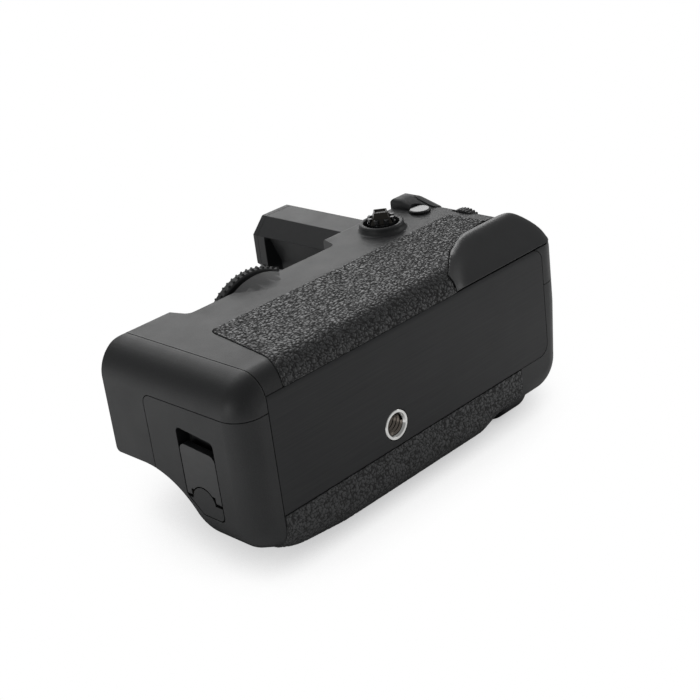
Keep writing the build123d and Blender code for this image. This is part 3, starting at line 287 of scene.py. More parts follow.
def stick_nylon():
    """Moulded nylon of the stick: grey-black, a little olive, with worn brighter specks."""
    material, tree = new_material("Moulded grey-black nylon")
    worn = speckle(tree, 0.5)
    close(tree, {
        "Base Color": ramp(tree, worn, 0.3, 0.9, colours().stick, colours().case_light),
        "Roughness": spread(tree, worn, 0.25, 0.4),
        "Specular IOR Level": 0.3,
        "IOR": 1.53,
        "Normal": bump(tree, worn, 0.01),
    })
    return material


def inner_plastic():
    """Plain injection-moulded ABS of hidden parts: dull dark grey with flow marks."""
    material, tree = new_material("Plain moulded dark ABS")
    flow = speckle(tree, 2.5, stretch=(0.3, 1, 1))
    close(tree, {
        "Base Color": ramp(tree, flow, 0.3, 0.8, linear("#1d1e20"), linear("#2e3033")),
        "Roughness": spread(tree, flow, 0.5, 0.65),
        "IOR": 1.54,
        "Normal": bump(tree, flow, 0.01),
    })
    return material


def turned_metal(name, colour, rough, groove_mm, axis):
    """A lathe-turned metal, with fine rings across the turning axis."""
    material, tree = new_material(name)
    stretch = tuple(1.0 if i == axis else 0.04 for i in range(3))
    rings = speckle(tree, groove_mm, stretch=stretch, detail=2.0)
    close(tree, {
        "Base Color": ramp(tree, rings, 0.3, 0.75, tuple(c * 0.8 for c in colour), colour),
        "Metallic": 1.0,
        "Roughness": spread(tree, rings, rough, rough + 0.12),
        "Normal": bump(tree, rings, 0.008),
    })
    return material


def glass_epoxy_board():
    """Solder-masked glass-epoxy board: dark green with paler copper tracks under the mask."""
    material, tree = new_material("Green solder-masked circuit board")
    tracks = add(
        tree, "ShaderNodeTexBrick",
        {"Vector": coords(tree), "Scale": 60.0, "Mortar Size": 0.06, "Color1": rgba(linear("#1c4a2c")),
         "Color2": rgba(linear("#1f5332")), "Mortar": rgba(linear("#3f7a4c"))},
    )
    close(tree, {
        "Base Color": tracks.outputs["Color"],
        "Roughness": spread(tree, speckle(tree, 2.0), 0.25, 0.4),
        "IOR": 1.55,
        "Normal": bump(tree, tracks.outputs["Fac"], 0.03),
    })
    return material


def ribbon_film():
    """Amber polyimide film with copper tracks that run along it."""
    material, tree = new_material("Amber polyimide ribbon")
    tracks = speckle(tree, 0.8, stretch=(1, 0.02, 1), detail=1.0)
    close(tree, {
        "Base Color": ramp(tree, tracks, 0.45, 0.55, linear("#6b4216"), linear("#a8712c")),
        "Roughness": spread(tree, tracks, 0.2, 0.35),
        "IOR": 1.7,
        "Normal": bump(tree, tracks, 0.02),
    })
    return material


def black_oxide_steel():
    """Black-oxide steel of the screws: a dark dull metal with brighter rubbed spots."""
    material, tree = new_material("Black-oxide screw steel")
    rubbed = speckle(tree, 0.6)
    close(tree, {
        "Base Color": ramp(tree, rubbed, 0.4, 0.85, linear("#232426"), linear("#4a4c50")),
        "Metallic": 1.0,
        "Roughness": spread(tree, rubbed, 0.35, 0.5),
        "Normal": bump(tree, rubbed, 0.01),
    })
    return material


# What makes the material of each slot
FINISHES = {
    "case_plastic": moulded_polycarbonate,
    "plate_plastic": satin_plate,
    "smooth_plastic": smooth_abs,
    "grip_rubber": leathered_rubber,
    "soft_rubber": plain_rubber,
    "wheel_rubber": plain_rubber,
    "dial_plastic": smooth_abs,
    "stick_plastic": stick_nylon,
    "gloss_button": polished_button,
    "inner_plastic": inner_plastic,
    "board": glass_epoxy_board,
    "ribbon_film": ribbon_film,
    "contact_gold": lambda: turned_metal("Gold-flashed contact spring", linear("#d8b45a"), 0.2, 0.3, 2),
    # Darker than the bush's bright ring: on the bush's thread this tone is painted shade inside the bore, on
    # the other steel parts it is their own tone
    "steel": lambda: turned_metal("Turned mild steel, own tone and painted bore shade", linear("#857d75"), 0.22, 0.15, 1),
    "bright_steel": lambda: turned_metal("Nickel-plated turned steel", linear("#e6e6e4"), 0.12, 0.12, 1),
    "black_screw": black_oxide_steel,
}
MADE = {}


def finish_of(slot):
    """The material of a slot, made once."""
    maker = FINISHES[slot]
    if maker not in MADE:
        MADE[maker] = maker()
    return MADE[maker]


# Modelling helpers


def deselect():
    """Leaves edit mode and clears the selection."""
    if bpy.context.object and bpy.context.object.mode != "OBJECT":
        bpy.ops.object.mode_set(mode="OBJECT")
    bpy.ops.object.select_all(action="DESELECT")


def activate(piece):
    """Makes a piece the active one and the only one that is selected."""
    deselect()
    piece.select_set(True)
    bpy.context.view_layer.objects.active = piece


def edit_all():
    """Opens edit mode on the active piece, with all of its mesh selected."""
    bpy.ops.object.mode_set(mode="EDIT")
    bpy.ops.mesh.select_all(action="SELECT")


def leave_edit():
    """Goes back to object mode."""
    bpy.ops.object.mode_set(mode="OBJECT")


def shade_below(piece, degrees):
    """Shades a piece smoothly, except where two faces meet at more than the angle."""
    activate(piece)
    bpy.ops.object.shade_smooth_by_angle(angle=math.radians(degrees))


def shade_smooth(piece):
    """Shades a whole piece smoothly."""
    activate(piece)
    bpy.ops.object.shade_smooth()


def apply_modifier(piece, kind, **settings):
    """Adds a modifier with its settings to a piece and applies it."""
    activate(piece)
    modifier = piece.modifiers.new(kind.title(), kind)
    for name, value in settings.items():
        setattr(modifier, name, value)
    bpy.ops.object.modifier_apply(modifier=modifier.name)


def merged_copy(node, name):
    """A CAD node's mesh in a new object, with its loose triangles joined."""
    source = frame["nodes"][node]
    piece = bpy.data.objects.new(name, source.data.copy())
    bpy.context.scene.collection.objects.link(piece)
    activate(piece)
    edit_all()
    bpy.ops.mesh.remove_doubles(threshold=0.001 * MM)
    leave_edit()
    return piece


def dress(piece, slot, body, *nodes):
    """Gives a finished piece the material of a slot and its body, and hides the nodes that it stands for."""
    piece.data.materials.clear()
    piece.data.materials.append(finish_of(slot))
    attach(piece, body)
    if nodes:
        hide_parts(*nodes)


def body_of_node(node):
    """The moving body that a node belongs to."""
    for body, members in frame["record"]["behaviour"]["bodies"].items():
        if node in members:
            return body
    raise RuntimeError("no body holds " + node)


# Operators

# Above this many degrees an edge stays sharp: on moulded, turned and the stick's pieces
MOULDED_SHARP = 32
TURNED_SHARP = 30
STICK_SHARP = 40
# Edges with a sharper turn than this are softened, and faces that are flatter to each other are joined
SOFTENED_FROM = math.radians(28)
FLAT_BELOW = math.radians(0.3)
SOFTENED = (
    "rear_cover", "front_shell", "left_side_cover", "bottom_plate", "mating_plate",
    "front_dial_housing", "shutter_housing", "tower_shell", "tower_end_cap", "mating_cushion",
    "locating_pins", "attachment_bush", "battery_door", "latch_hub", "latch_handle",
    "afon_button", "function_button", "rear_dial", "front_dial", "shutter_collar",
    "shutter_button", "power_ring", "battery_tray", "battery_chamber",
)


class GRIP_OT_finish_nodes(bpy.types.Operator):
    """Gives every carried-over part of the frame the material of its slot"""
    bl_idname = "grip.finish_nodes"
    bl_label = "Finish the plain parts"

    def execute(self, context):
        for name, piece in frame["nodes"].items():
            piece.data.materials.clear()
            piece.data.materials.append(finish_of(NODE_SLOT[name]))
        return {"FINISHED"}


# The scoop in the tower's left flank, in metres: it starts under the bevelled edge and gets deeper downwards
FLANK_X = 0.0556  # the flank lies left of this
FLANK_EDGE_Z = 0.0225  # lower end of the bevelled edge
FLANK_SLACK = 0.01 * MM
RELIEF_EDGE_Z = 0.0129  # below this the frame's own relief sets the flank back
SCOOP_STEP = 0.002  # depth right under the edge
SCOOP_LEAN = 0.42  # depth that each metre downwards adds
SCOOP_FOOT = 0.0013  # depth that the relief gets on top of its own
SCOOP_ENDS = (0.0615, 0.1018)  # from the tower's foot to its tip, along Y
SCOOP_RAMP = 0.0008  # length of the slope at both ends


def scoop_flank(piece):
    """Sets the tower's left flank back between its foot and its tip, so that it lies in shade."""
    first, last = SCOOP_ENDS
    half_ramp = SCOOP_RAMP / 2
    bpy.ops.object.mode_set(mode="EDIT")
    for place in (first, first + SCOOP_RAMP, last - SCOOP_RAMP, last):
        bpy.ops.mesh.select_all(action="SELECT")
        bpy.ops.mesh.bisect(plane_co=(0, place, 0), plane_no=(0, 1, 0))
    bpy.ops.mesh.select_all(action="SELECT")
    bpy.ops.mesh.bisect(plane_co=(0, 0, FLANK_EDGE_Z), plane_no=(0, 0, 1))
    leave_edit()
    for vertex in piece.data.vertices:
        x, y, z = vertex.co
        if x < FLANK_X and z <= FLANK_EDGE_Z + FLANK_SLACK and first + half_ramp < y < last - half_ramp:
            above = z > RELIEF_EDGE_Z
            vertex.co.x += SCOOP_STEP + SCOOP_LEAN * (FLANK_EDGE_Z - z) if above else SCOOP_FOOT


class GRIP_OT_casings(bpy.types.Operator):
    """Softens the edges of the moulded parts and shades their curves smoothly"""
    bl_idname = "grip.casings"
    bl_label = "Soften the moulded parts"

    def execute(self, context):
        for node in SOFTENED:
            piece = merged_copy(node, node + "_moulding")
            edit_all()
            bpy.ops.mesh.dissolve_limited(angle_limit=FLAT_BELOW, delimit={"NORMAL"})
            leave_edit()
            if node == "tower_shell":
                scoop_flank(piece)
            apply_modifier(
                piece, "BEVEL", width=sizes().edge, segments=2, limit_method="ANGLE",
                angle_limit=SOFTENED_FROM, use_clamp_overlap=True, miter_outer="MITER_ARC",
            )
            shade_below(piece, MOULDED_SHARP)
            apply_modifier(piece, "WEIGHTED_NORMAL", mode="FACE_AREA", weight=100, keep_sharp=True)
            dress(piece, NODE_SLOT[node], body_of_node(node), node)
        return {"FINISHED"}


def near_nodes(piece, nodes, reach):
    """For each vertex, whether one of the nodes comes within reach of it."""
    trees = []
    for node in nodes:
        mesh = frame["nodes"][node].data
        corners = [vertex.co for vertex in mesh.vertices]
        trees.append(BVHTree.FromPolygons(corners, [face.vertices for face in mesh.polygons]))
    return [
        any(tree.find_nearest(vertex.co, reach)[0] is not None for tree in trees)
        for vertex in piece.data.vertices
    ]


def select_vertices(piece, chosen):
    """Opens edit mode with only the chosen vertices selected."""
    activate(piece)
    bpy.ops.object.mode_set(mode="EDIT")
    bpy.ops.mesh.select_mode(type="VERT")
    bpy.ops.mesh.select_all(action="DESELECT")
    bpy.ops.object.mode_set(mode="OBJECT")
    piece.data.vertices.foreach_set("select", chosen)
    bpy.ops.object.mode_set(mode="EDIT")


# The leather grain, in shares of the distance between two grains: how wide and how strong each bend of
# its pattern is, and how wide a wrinkle is
GRAIN_BENDS = ((1.6, 0.6), (0.55, 0.2))
WRINKLE = 0.3
# The noise that bends the grain starts from this seed, so that each run gives the same leather
GRAIN_SEED = 7


def grain_height(place, grain):
    """Height of the leather grain at a place: 1 on a grain's top, 0 in the wrinkle between two."""
    warp = Vector()
    for width, strength in GRAIN_BENDS:
        warp += noise.noise_vector(place / (grain * width)) * grain * strength
    near = noise.voronoi((place + warp) / grain)[0]
    rise = min(1.0, (near[1] - near[0]) / WRINKLE)
    return rise * rise * (3 - 2 * rise)


# A pad's face counts as hidden where a casing of its recess is within reach; it keeps a share of its mesh
PAD_REACH = 0.22 * MM
HIDDEN_SHARE = 0.08
PAD_NEIGHBOURS = {
    "rear_grip_pad": ("rear_cover", "left_side_cover", "bottom_plate"),
    "front_grip_pad": ("front_shell", "battery_door"),
}


class GRIP_OT_grip_pads(bpy.types.Operator):
    """Makes the two grip pads as leather-grained rubber sheets"""
    bl_idname = "grip.grip_pads"
    bl_label = "Grip pads"

    def execute(self, context):
        noise.seed_set(GRAIN_SEED)
        for node, neighbours in PAD_NEIGHBOURS.items():
            piece = merged_copy(node, node + "_leathered")
            apply_modifier(piece, "REMESH", mode="VOXEL", voxel_size=sizes().pad_mesh, use_smooth_shade=True)
            select_vertices(piece, near_nodes(piece, neighbours, PAD_REACH))
            bpy.ops.mesh.decimate(ratio=HIDDEN_SHARE)
            leave_edit()
            self.emboss(piece, near_nodes(piece, neighbours, PAD_REACH))
            shade_smooth(piece)
            dress(piece, "grip_rubber", body_of_node(node), node)
        return {"FINISHED"}

    def emboss(self, piece, hidden):
        """Presses the wrinkles into the visible face."""
        mesh = piece.data
        grain = sizes().grain
        normals = [vertex.normal.copy() for vertex in mesh.vertices]
        heights = [
            1.0 if back else grain_height(vertex.co, grain)
            for vertex, back in zip(mesh.vertices, hidden)
        ]
        # The heights are kept as the grain attribute, from which the leather material paints shade into the
        # wrinkles
        mesh.attributes.new("grain", "FLOAT", "POINT").data.foreach_set("value", heights)
        for vertex, normal, height in zip(mesh.vertices, normals, heights):
            vertex.co -= normal * (1 - height) * sizes().relief


# The thumb rest keeps its edge where a neighbour is within reach, and is rolled by smoothing elsewhere
THUMB_NEIGHBOURS = ("rear_cover", "bottom_plate", "front_shell", "rear_grip_pad")
THUMB_REACH = 0.45 * MM
ROLL_STEPS = 160


class GRIP_OT_thumb_rest(bpy.types.Operator):
    """Makes the thumb rest, with its ridge and left flank rolled softly into each other"""
    bl_idname = "grip.thumb_rest"
    bl_label = "Thumb rest"

    def execute(self, context):
        piece = merged_copy("thumb_rest", "thumb_rest_moulding")
        apply_modifier(piece, "REMESH", mode="VOXEL", voxel_size=sizes().thumb_mesh, use_smooth_shade=True)
        held = near_nodes(piece, THUMB_NEIGHBOURS, THUMB_REACH)
        select_vertices(piece, [not still for still in held])
        bpy.ops.mesh.vertices_smooth(factor=0.5, repeat=ROLL_STEPS)
        leave_edit()
        shade_smooth(piece)
        dress(piece, "smooth_plastic", "housing", "thumb_rest")
        return {"FINISHED"}


def middle_of(node):
    """The middle of a node's box."""
    low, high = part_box(node)
    return tuple((a + b) / 2 for a, b in zip(low, high))


# The stick's collar: bore and rim lie inside its foot, and its side flares up to a share of its height
COLLAR_BORE_INSET = 2.5 * MM
COLLAR_RIM_INSET = 1.05 * MM
FLARE_SHARE = 0.75
# Its rounded top, first round the rim and then into the bore: millimetres outwards, share of the height
COLLAR_OVER_RIM = ((-0.08, 0.88), (-0.3, 0.97), (-0.6, 1.0))
COLLAR_INTO_BORE = ((0.4, 1.0), (0.1, 0.95), (0.0, 0.85))
# The frame's disc and claws are kept up to this height, with softened edges
CLAWS_TOP = 3.2 * MM
CLAW_EDGE = 0.12 * MM
# The stick's square cap from its skirt to its dish, in millimetres: half its side, and how far below its top
CAP_LEVELS = (
    (3.4, 3.6), (3.25, 3.0), (2.9, 2.3), (2.5, 1.6), (2.2, 0.8), (2.1, 0.15), (2.0, 0.0), (1.75, 0.05),
    (1.6, 0.6),
)
CAP_EDGE = 0.35 * MM
CAP_SOFTENED_FROM = math.radians(50)


class GRIP_OT_joystick(bpy.types.Operator):
    """Makes the stick's flared collar and its cap with polished claws"""
    bl_idname = "grip.joystick"
    bl_label = "Joystick"

    def execute(self, context):
        self.collar()
        self.claws()
        self.cap()
        return {"FINISHED"}

    def collar(self):
        """A ring whose side flares out to its foot."""
        low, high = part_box("joystick_bezel")
        middle = middle_of("joystick_bezel")
        foot = (high[0] - low[0]) / 2
        rise = high[2] - low[2]
        bore = foot - COLLAR_BORE_INSET
        rim = foot - COLLAR_RIM_INSET
        flare = [
            (foot - (foot - rim) * math.sin(turn), rise * (1 - math.cos(turn)) * FLARE_SHARE)
            for turn in (math.radians(angle) for angle in range(0, 91, 10))
        ]
        over_rim = [(rim + out * MM, rise * share) for out, share in COLLAR_OVER_RIM]
        into_bore = [(bore + out * MM, rise * share) for out, share in COLLAR_INTO_BORE]
        profile = [(bore, 0), *flare, *over_rim, *into_bore]
        collar = turned("joystick_collar", profile, (middle[0], middle[1], low[2]), axis="Z", steps=96)
        shade_below(collar, STICK_SHARP)
        dress(collar, NODE_SLOT["joystick_bezel"], "housing", "joystick_bezel")

    def claws(self):
        """The disc with its claws, taken from the lower part of the frame's cap."""
        disc_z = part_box("joystick_cap")[0][2]
        claws = merged_copy("joystick_cap", "joystick_claws")
        cut(claws, (0, 0, disc_z + CLAWS_TOP), (0, 0, 1))
        apply_modifier(claws, "BEVEL", width=CLAW_EDGE, segments=2, limit_method="ANGLE")
        shade_below(claws, MOULDED_SHARP)
        dress(claws, NODE_SLOT["afon_button"], "stick_cap", "joystick_cap")

    def cap(self):
        """A square cap with a dished top, whose sides flare down to the disc."""
        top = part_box("joystick_cap")[1][2]
        middle = middle_of("joystick_cap")
        half_side, depth = CAP_LEVELS[0]
        deselect()
        bpy.ops.mesh.primitive_plane_add(size=2 * half_side * MM, location=(0, 0, 0))
        cap = bpy.context.object
        cap.name = "joystick_cap_top"
        bpy.ops.object.transform_apply()
        edit_all()
        bpy.ops.transform.rotate(value=math.radians(45), orient_axis="Z", center_override=(0, 0, 0))
        bpy.ops.transform.translate(value=(middle[0], middle[1], top - depth * MM))
        for (wide, down), (narrow, up) in zip(CAP_LEVELS, CAP_LEVELS[1:]):
            bpy.ops.mesh.extrude_region_move(TRANSFORM_OT_translate={"value": (0, 0, (down - up) * MM)})
            bpy.ops.transform.resize(
                value=(narrow / wide, narrow / wide, 1), center_override=(middle[0], middle[1], top)
            )
        leave_edit()
        apply_modifier(
            cap, "BEVEL", width=CAP_EDGE, segments=3, limit_method="ANGLE", angle_limit=CAP_SOFTENED_FROM,
        )
        shade_below(cap, STICK_SHARP)
        dress(cap, "stick_plastic", "stick_cap")


# Points closer than this are joined in what is turned or wound
WELD = 0.002 * MM
# Share of the pitch that a tooth of the thread fills
TOOTH_SHARE = 0.9


def screw_thread(name, radius, depth, pitch, low, high):
    """A helical ridge inside a bore round the Y axis: a diamond-shaped tooth, wound by the screw modifier."""
    tooth = TOOTH_SHARE * pitch
    start = low + tooth / 2
    turns = int((high - low - tooth) / pitch)
    deselect()
    centre = (radius, start, 0)
    bpy.ops.mesh.primitive_circle_add(vertices=4, radius=depth, fill_type="NOTHING", location=centre)
    piece = bpy.context.object
    piece.name = name
    bpy.ops.object.transform_apply()
    edit_all()
    bpy.ops.transform.resize(value=(1, tooth / (2 * depth), 1), center_override=centre)
    leave_edit()
    apply_modifier(piece, "SCREW", axis="Y", screw_offset=pitch, iterations=turns, steps=40, render_steps=40)
    edit_all()
    bpy.ops.mesh.remove_doubles(threshold=WELD)
    bpy.ops.mesh.fill_holes(sides=4)
    bpy.ops.mesh.select_all(action="SELECT")
    bpy.ops.mesh.normals_make_consistent(inside=False)
    leave_edit()
    return piece


def cut(piece, point, normal):
    """Cuts off what lies on the normal's side of a plane, closes the cut and turns the faces outwards."""
    activate(piece)
    edit_all()
    bpy.ops.mesh.bisect(plane_co=point, plane_no=normal, use_fill=True, clear_outer=True)
    bpy.ops.mesh.select_all(action="SELECT")
    bpy.ops.mesh.normals_make_consistent(inside=False)
    leave_edit()


def turned(name, profile, centre, axis="Y", steps=64, solid=False):
    """A turned piece round an axis through the centre, from pairs of radius and distance along the axis.

    A circle is extruded and resized from each pair to the next. A solid piece starts and ends with a filled
    face; a ring is closed on itself.
    """
    along = Vector((0, 1, 0)) if axis == "Y" else Vector((0, 0, 1))
    tilt = (math.pi / 2, 0, 0) if axis == "Y" else (0, 0, 0)
    (radius, distance), *following = profile if solid else [*profile, profile[0]]
    deselect()
    bpy.ops.mesh.primitive_circle_add(
        vertices=steps, radius=radius, fill_type="NGON" if solid else "NOTHING",
        location=Vector(centre) + along * distance, rotation=tilt,
    )
    piece = bpy.context.object
    piece.name = name
    bpy.ops.object.transform_apply()
    edit_all()
    for next_radius, next_distance in following:
        bpy.ops.mesh.extrude_region_move(TRANSFORM_OT_translate={"value": along * (next_distance - distance)})
        ratio = next_radius / radius
        bpy.ops.transform.resize(
            value=(ratio, ratio, ratio), center_override=Vector(centre) + along * next_distance
        )
        radius, distance = next_radius, next_distance
    bpy.ops.mesh.select_all(action="SELECT")
    bpy.ops.mesh.remove_doubles(threshold=WELD)
    bpy.ops.mesh.normals_make_consistent(inside=False)
    leave_edit()
    return piece


# The tripod bush: a flange at the mouth, a barrel behind it, and a threaded bore that is closed at the back
BUSH_EDGE = 0.25 * MM
LEAD_IN = 2.6 * BUSH_EDGE  # depth at which the mouth's chamfer meets the thread's root
ROOT_INSET = 0.25 * MM  # the root's radius is this much less than the mouth's
FLANGE_DEPTH = 1.6 * MM
BARREL_RADIUS = 3.9 * MM
BORE_END = 1.2 * MM  # from the end of the bore to the back of the bush
BORE_SHADE_SKIN = 0.05 * MM  # thickness of the black sleeve in the bore: painted shade between the thread's turns


class GRIP_OT_tripod_bush(bpy.types.Operator):
    """Turns the bright tripod bush with its chamfered mouth and its thread"""
    bl_idname = "grip.tripod_bush"
    bl_label = "Tripod bush"

    def execute(self, context):
        low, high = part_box("tripod_socket")
        outer = (high[0] - low[0]) / 2
        depth = high[1] - low[1]
        bore_depth = depth - BORE_END
        mouth = sizes().mouth
        root = mouth - ROOT_INSET
        profile = [
            (outer - BUSH_EDGE, 0), (outer, BUSH_EDGE), (outer, FLANGE_DEPTH),
            (BARREL_RADIUS, FLANGE_DEPTH), (BARREL_RADIUS, depth),
            (root, depth), (root, LEAD_IN), (mouth, BUSH_EDGE), (mouth + BUSH_EDGE, 0),
        ]
        ring = turned("tripod_bush_ring", profile, (0, 0, 0))
        shade_below(ring, TURNED_SHARP)
        dress(ring, "bright_steel", "housing", "tripod_socket")
        # A thin black sleeve lines and closes the bore: painted shade, where the inside of the bright bush
        # lies in shadow
        profile = [(root, depth), (root, LEAD_IN), (root - BORE_SHADE_SKIN, LEAD_IN), (root - BORE_SHADE_SKIN, bore_depth)]
        bore_shade = turned("tripod_bush_painted_shade", profile, (0, 0, 0), solid=True)
        shade_below(bore_shade, TURNED_SHARP)
        dress(bore_shade, "black_screw", "housing")
        # The thread gets the darker steel, whose tone paints the shade inside the bore
        thread = screw_thread(
            "tripod_bush_thread", root, sizes().thread_depth, sizes().thread_pitch, LEAD_IN, bore_depth,
        )
        shade_below(thread, TURNED_SHARP)
        dress(thread, "steel", "housing")
        return {"FINISHED"}


# The attachment wheel: a rim and a hub with a dished web between them, on both sides
WHEEL_EDGE = 0.35 * MM
RIM_WIDTH = 4 * MM
HUB_RADIUS = 6 * MM
WHEEL_BORE = 3.6 * MM
WEB_DISH = 1.0 * MM
# The ribs round it
RIBS = 64
RIB_HEIGHT = 0.55 * MM
RIB_SLANT = math.radians(24)
RIB_SHARE = 0.84  # width of a rib, in shares of half the distance between two
RIB_TAPER = (0.45, 0.85, 1)  # what is left of a rib's width and length at its top


class GRIP_OT_attachment_wheel(bpy.types.Operator):
    """Makes the attachment wheel with its dished sides and its ribbed rubber tyre"""
    bl_idname = "grip.attachment_wheel"
    bl_label = "Attachment wheel"

    def execute(self, context):
        low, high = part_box("attachment_wheel")
        centre = middle_of("attachment_wheel")
        outer = (high[0] - low[0]) / 2
        rim = outer - RIB_HEIGHT
        web = outer - RIM_WIDTH
        near_side = [
            (WHEEL_BORE, 0), (HUB_RADIUS, 0), (HUB_RADIUS, WEB_DISH), (web, WEB_DISH), (web, 0),
            (rim - WHEEL_EDGE, 0), (rim, WHEEL_EDGE),
        ]
        profile = [(radius, low[1] + inset) for radius, inset in near_side]
        profile += [(radius, high[1] - inset) for radius, inset in reversed(near_side)]
        wheel = turned("attachment_wheel_rim", profile, (centre[0], 0, centre[2]), steps=128)
        shade_below(wheel, TURNED_SHARP)
        dress(wheel, "wheel_rubber", "wheel", "attachment_wheel")
        self.ribs(centre, outer, (high[1] - low[1]) / 2 - WHEEL_EDGE)
        return {"FINISHED"}

    def ribs(self, centre, outer, half_height):
        """One slanted rib, copied round the rim."""
        width = RIB_SHARE * math.pi * outer / RIBS
        top = (centre[0], centre[1], centre[2] + outer)
        middle_z = top[2] - RIB_HEIGHT / 2
        deselect()
        bpy.ops.mesh.primitive_cube_add(size=1, location=(top[0], top[1], middle_z))
        tyre = bpy.context.object
        tyre.name = "attachment_wheel_ribs"
        tyre.scale = (width, 2 * half_height, RIB_HEIGHT)
        bpy.ops.object.transform_apply()
        select_vertices(tyre, [corner.co.z > middle_z for corner in tyre.data.vertices])
        bpy.ops.transform.resize(value=RIB_TAPER, center_override=top)
        bpy.ops.mesh.select_all(action="SELECT")
        bpy.ops.transform.rotate(value=RIB_SLANT, orient_axis="Z", center_override=top)
        for _ in range(RIBS - 1):
            bpy.ops.mesh.duplicate()
            bpy.ops.transform.rotate(value=2 * math.pi / RIBS, orient_axis="Y", center_override=centre)
        leave_edit()
        dress(tyre, "wheel_rubber", "wheel")


# What the lights point at, and each light's name, place, width and height in metres, and power in watts
LIT_PLACE = (0.012, 0.03, 0.005)
LIGHTS = (
    ("key_softbox", (0.15, 0.55, 0.85), (0.8, 0.5), 2.4),
    ("left_softbox", (-0.95, 0.10, 0.10), (0.5, 0.35), 1.6),
    ("front_softbox", (0.15, -0.95, 0.12), (0.8, 0.4), 0.5),
    ("right_softbox", (0.90, -0.45, 0.25), (0.5, 0.5), 1.2),
    ("rear_softbox", (0.60, 0.95, 0.42), (0.9, 0.5), 3.4),
)
# Where the grip touches the floor, Y and Z in metres: the front bulge and the tower's tip
FLOOR_NEAR = (0.0118, -0.0246)
FLOOR_FAR = (0.108, -0.0098)
FLOOR_MIDDLE_X = 0.012
FLOOR_RADIUS = 0.42
# How far the grip darkens the floor, in metres: as the camera sees it, and as the parts mirror it
CONTACT_SHADE = 0.035
MIRRORED_SHADE = 0.11
# The camera's place, and its turns in degrees: round the upright, up from looking down, and its roll
CAMERA_PLACE = (-0.2594, -0.2595, 0.1897)
CAMERA_TURNS = ((-43.35117, "Z"), (65.82048, "X"), (-7.38994, "Z"))
CAMERA_FOCAL_PIXELS = 1450
PICTURE_PIXELS = 700
SENSOR_MM = 36


def area_light(name, location, size, power):
    """A rectangular light that points at the grip."""
    data = bpy.data.lights.new(name, "AREA")
    data.shape = "RECTANGLE"
    data.size, data.size_y = size
    data.energy = power
    light = bpy.data.objects.new(name, data)
    light.location = location
    light.rotation_euler = (Vector(LIT_PLACE) - Vector(location)).to_track_quat("-Z", "Y").to_euler()
    bpy.context.scene.collection.objects.link(light)


def by_ray(tree, lighting, mirrored, seen):
    """Picks one of three shaders by the ray: it lights a part, is mirrored in one, or is the camera's."""
    path = add(tree, "ShaderNodeLightPath")
    glossy, camera = path.outputs["Is Glossy Ray"], path.outputs["Is Camera Ray"]
    inner = add(tree, "ShaderNodeMixShader", {0: glossy, 1: lighting.outputs[0], 2: mirrored.outputs[0]})
    outer = add(tree, "ShaderNodeMixShader", {0: camera, 1: inner.outputs[0], 2: seen.outputs[0]})
    return outer.outputs[0]


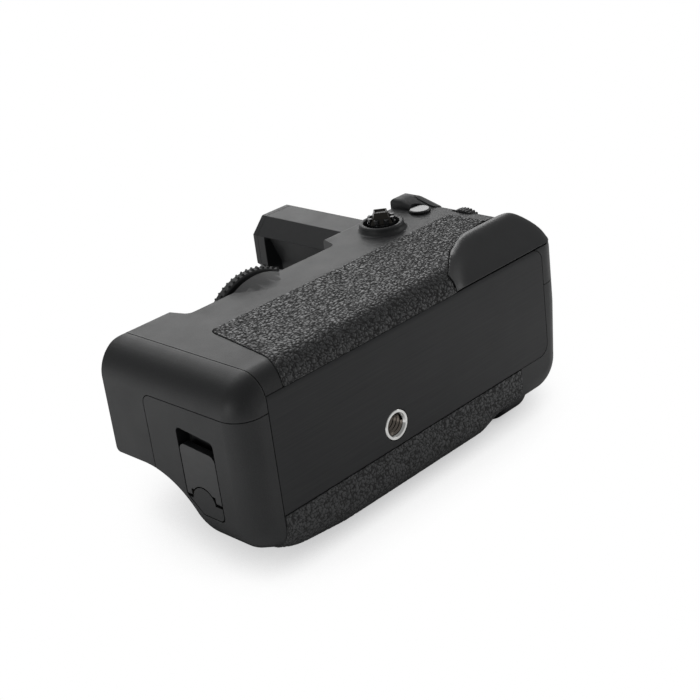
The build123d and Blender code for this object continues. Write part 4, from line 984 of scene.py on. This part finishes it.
class GRIP_OT_stage(bpy.types.Operator):
    """Sets the pale floor, the soft studio light and the camera"""
    bl_idname = "grip.stage"
    bl_label = "Stage, light and camera"

    def execute(self, context):
        scene = bpy.context.scene
        scene.view_settings.view_transform = "Standard"
        self.floor()
        self.world(scene)
        for light in LIGHTS:
            area_light(*light)
        self.camera(scene)
        return {"FINISHED"}

    def floor(self):
        """A disc under the grip: white to the camera with a soft contact shade, and grey to the parts."""
        deselect()
        bpy.ops.mesh.primitive_circle_add(vertices=96, radius=FLOOR_RADIUS, fill_type="NGON")
        floor = bpy.context.object
        floor.name = "floor"
        rise = math.atan2(FLOOR_FAR[1] - FLOOR_NEAR[1], FLOOR_FAR[0] - FLOOR_NEAR[0])
        middle = [(near + far) / 2 for near, far in zip(FLOOR_NEAR, FLOOR_FAR)]
        floor.data.transform(Matrix.Translation((FLOOR_MIDDLE_X, *middle)) @ Matrix.Rotation(rise, 4, "X"))
        material, tree = new_material("Pale studio floor")
        shade = add(tree, "ShaderNodeAmbientOcclusion", {"Distance": CONTACT_SHADE}, samples=12)
        white = ramp(tree, shade.outputs["AO"], 0.0, 0.7, linear("#a2a2a3"), (1, 1, 1))
        seen = add(tree, "ShaderNodeEmission", {"Color": white, "Strength": 1.0})
        lit = add(tree, "ShaderNodeBsdfDiffuse", {"Color": rgba(colours().floor)})
        wide_shade = add(tree, "ShaderNodeAmbientOcclusion", {"Distance": MIRRORED_SHADE}, samples=8)
        dimmed = ramp(tree, wide_shade.outputs["AO"], 0.5, 1.0, linear("#060606"), (1, 1, 1))
        mirrored = add(tree, "ShaderNodeEmission", {"Color": dimmed, "Strength": 0.95})
        add(tree, "ShaderNodeOutputMaterial", {"Surface": by_ray(tree, lit, mirrored, seen)})
        floor.data.materials.append(material)

    def world(self, scene):
        """A surround that is white to the camera and dim to the parts."""
        world = bpy.data.worlds.new("Studio")
        world.use_nodes = True
        tree = world.node_tree
        tree.nodes.clear()
        seen = add(tree, "ShaderNodeBackground", {"Color": (1, 1, 1, 1), "Strength": 1.0})
        soft = add(tree, "ShaderNodeBackground", {"Color": rgba(linear("#e9ecf0")), "Strength": 0.13})
        mirrored = add(tree, "ShaderNodeBackground", {"Color": (1, 1, 1, 1), "Strength": 0.3})
        add(tree, "ShaderNodeOutputWorld", {"Surface": by_ray(tree, soft, mirrored, seen)})
        scene.world = world

    def camera(self, scene):
        """The camera of the photo."""
        data = bpy.data.cameras.new("camera")
        data.sensor_width = SENSOR_MM
        data.lens = CAMERA_FOCAL_PIXELS / PICTURE_PIXELS * data.sensor_width
        camera = bpy.data.objects.new("camera", data)
        scene.collection.objects.link(camera)
        place = Matrix.Translation(CAMERA_PLACE)
        for degrees, axis in CAMERA_TURNS:
            place @= Matrix.Rotation(math.radians(degrees), 4, axis)
        camera.matrix_world = place
        scene.camera = camera


class GRIP_PT_panel(bpy.types.Panel):
    """Lists the steps that dress the grip"""
    bl_idname = "GRIP_PT_panel"
    bl_label = "Battery grip"
    bl_space_type = "VIEW_3D"
    bl_region_type = "UI"
    bl_category = "Grip"

    def draw(self, context):
        for step in STEPS:
            self.layout.operator(step.bl_idname)


STEPS = (
    GRIP_OT_finish_nodes,
    GRIP_OT_casings,
    GRIP_OT_grip_pads,
    GRIP_OT_thumb_rest,
    GRIP_OT_joystick,
    GRIP_OT_tripod_bush,
    GRIP_OT_attachment_wheel,
    GRIP_OT_stage,
)
CLASSES = (GripColours, GripSizes, *STEPS, GRIP_PT_panel)


def register():
    for item in CLASSES:
        bpy.utils.register_class(item)
    bpy.types.Scene.grip_colours = bpy.props.PointerProperty(type=GripColours)
    bpy.types.Scene.grip_sizes = bpy.props.PointerProperty(type=GripSizes)


def unregister():
    del bpy.types.Scene.grip_sizes
    del bpy.types.Scene.grip_colours
    for item in reversed(CLASSES):
        bpy.utils.unregister_class(item)


def main():
    register()
    bpy.ops.grip.finish_nodes()
    bpy.ops.grip.casings()
    bpy.ops.grip.grip_pads()
    bpy.ops.grip.thumb_rest()
    bpy.ops.grip.joystick()
    bpy.ops.grip.tripod_bush()
    bpy.ops.grip.attachment_wheel()
    bpy.ops.grip.stage()


if __name__ == "__main__":
    main()
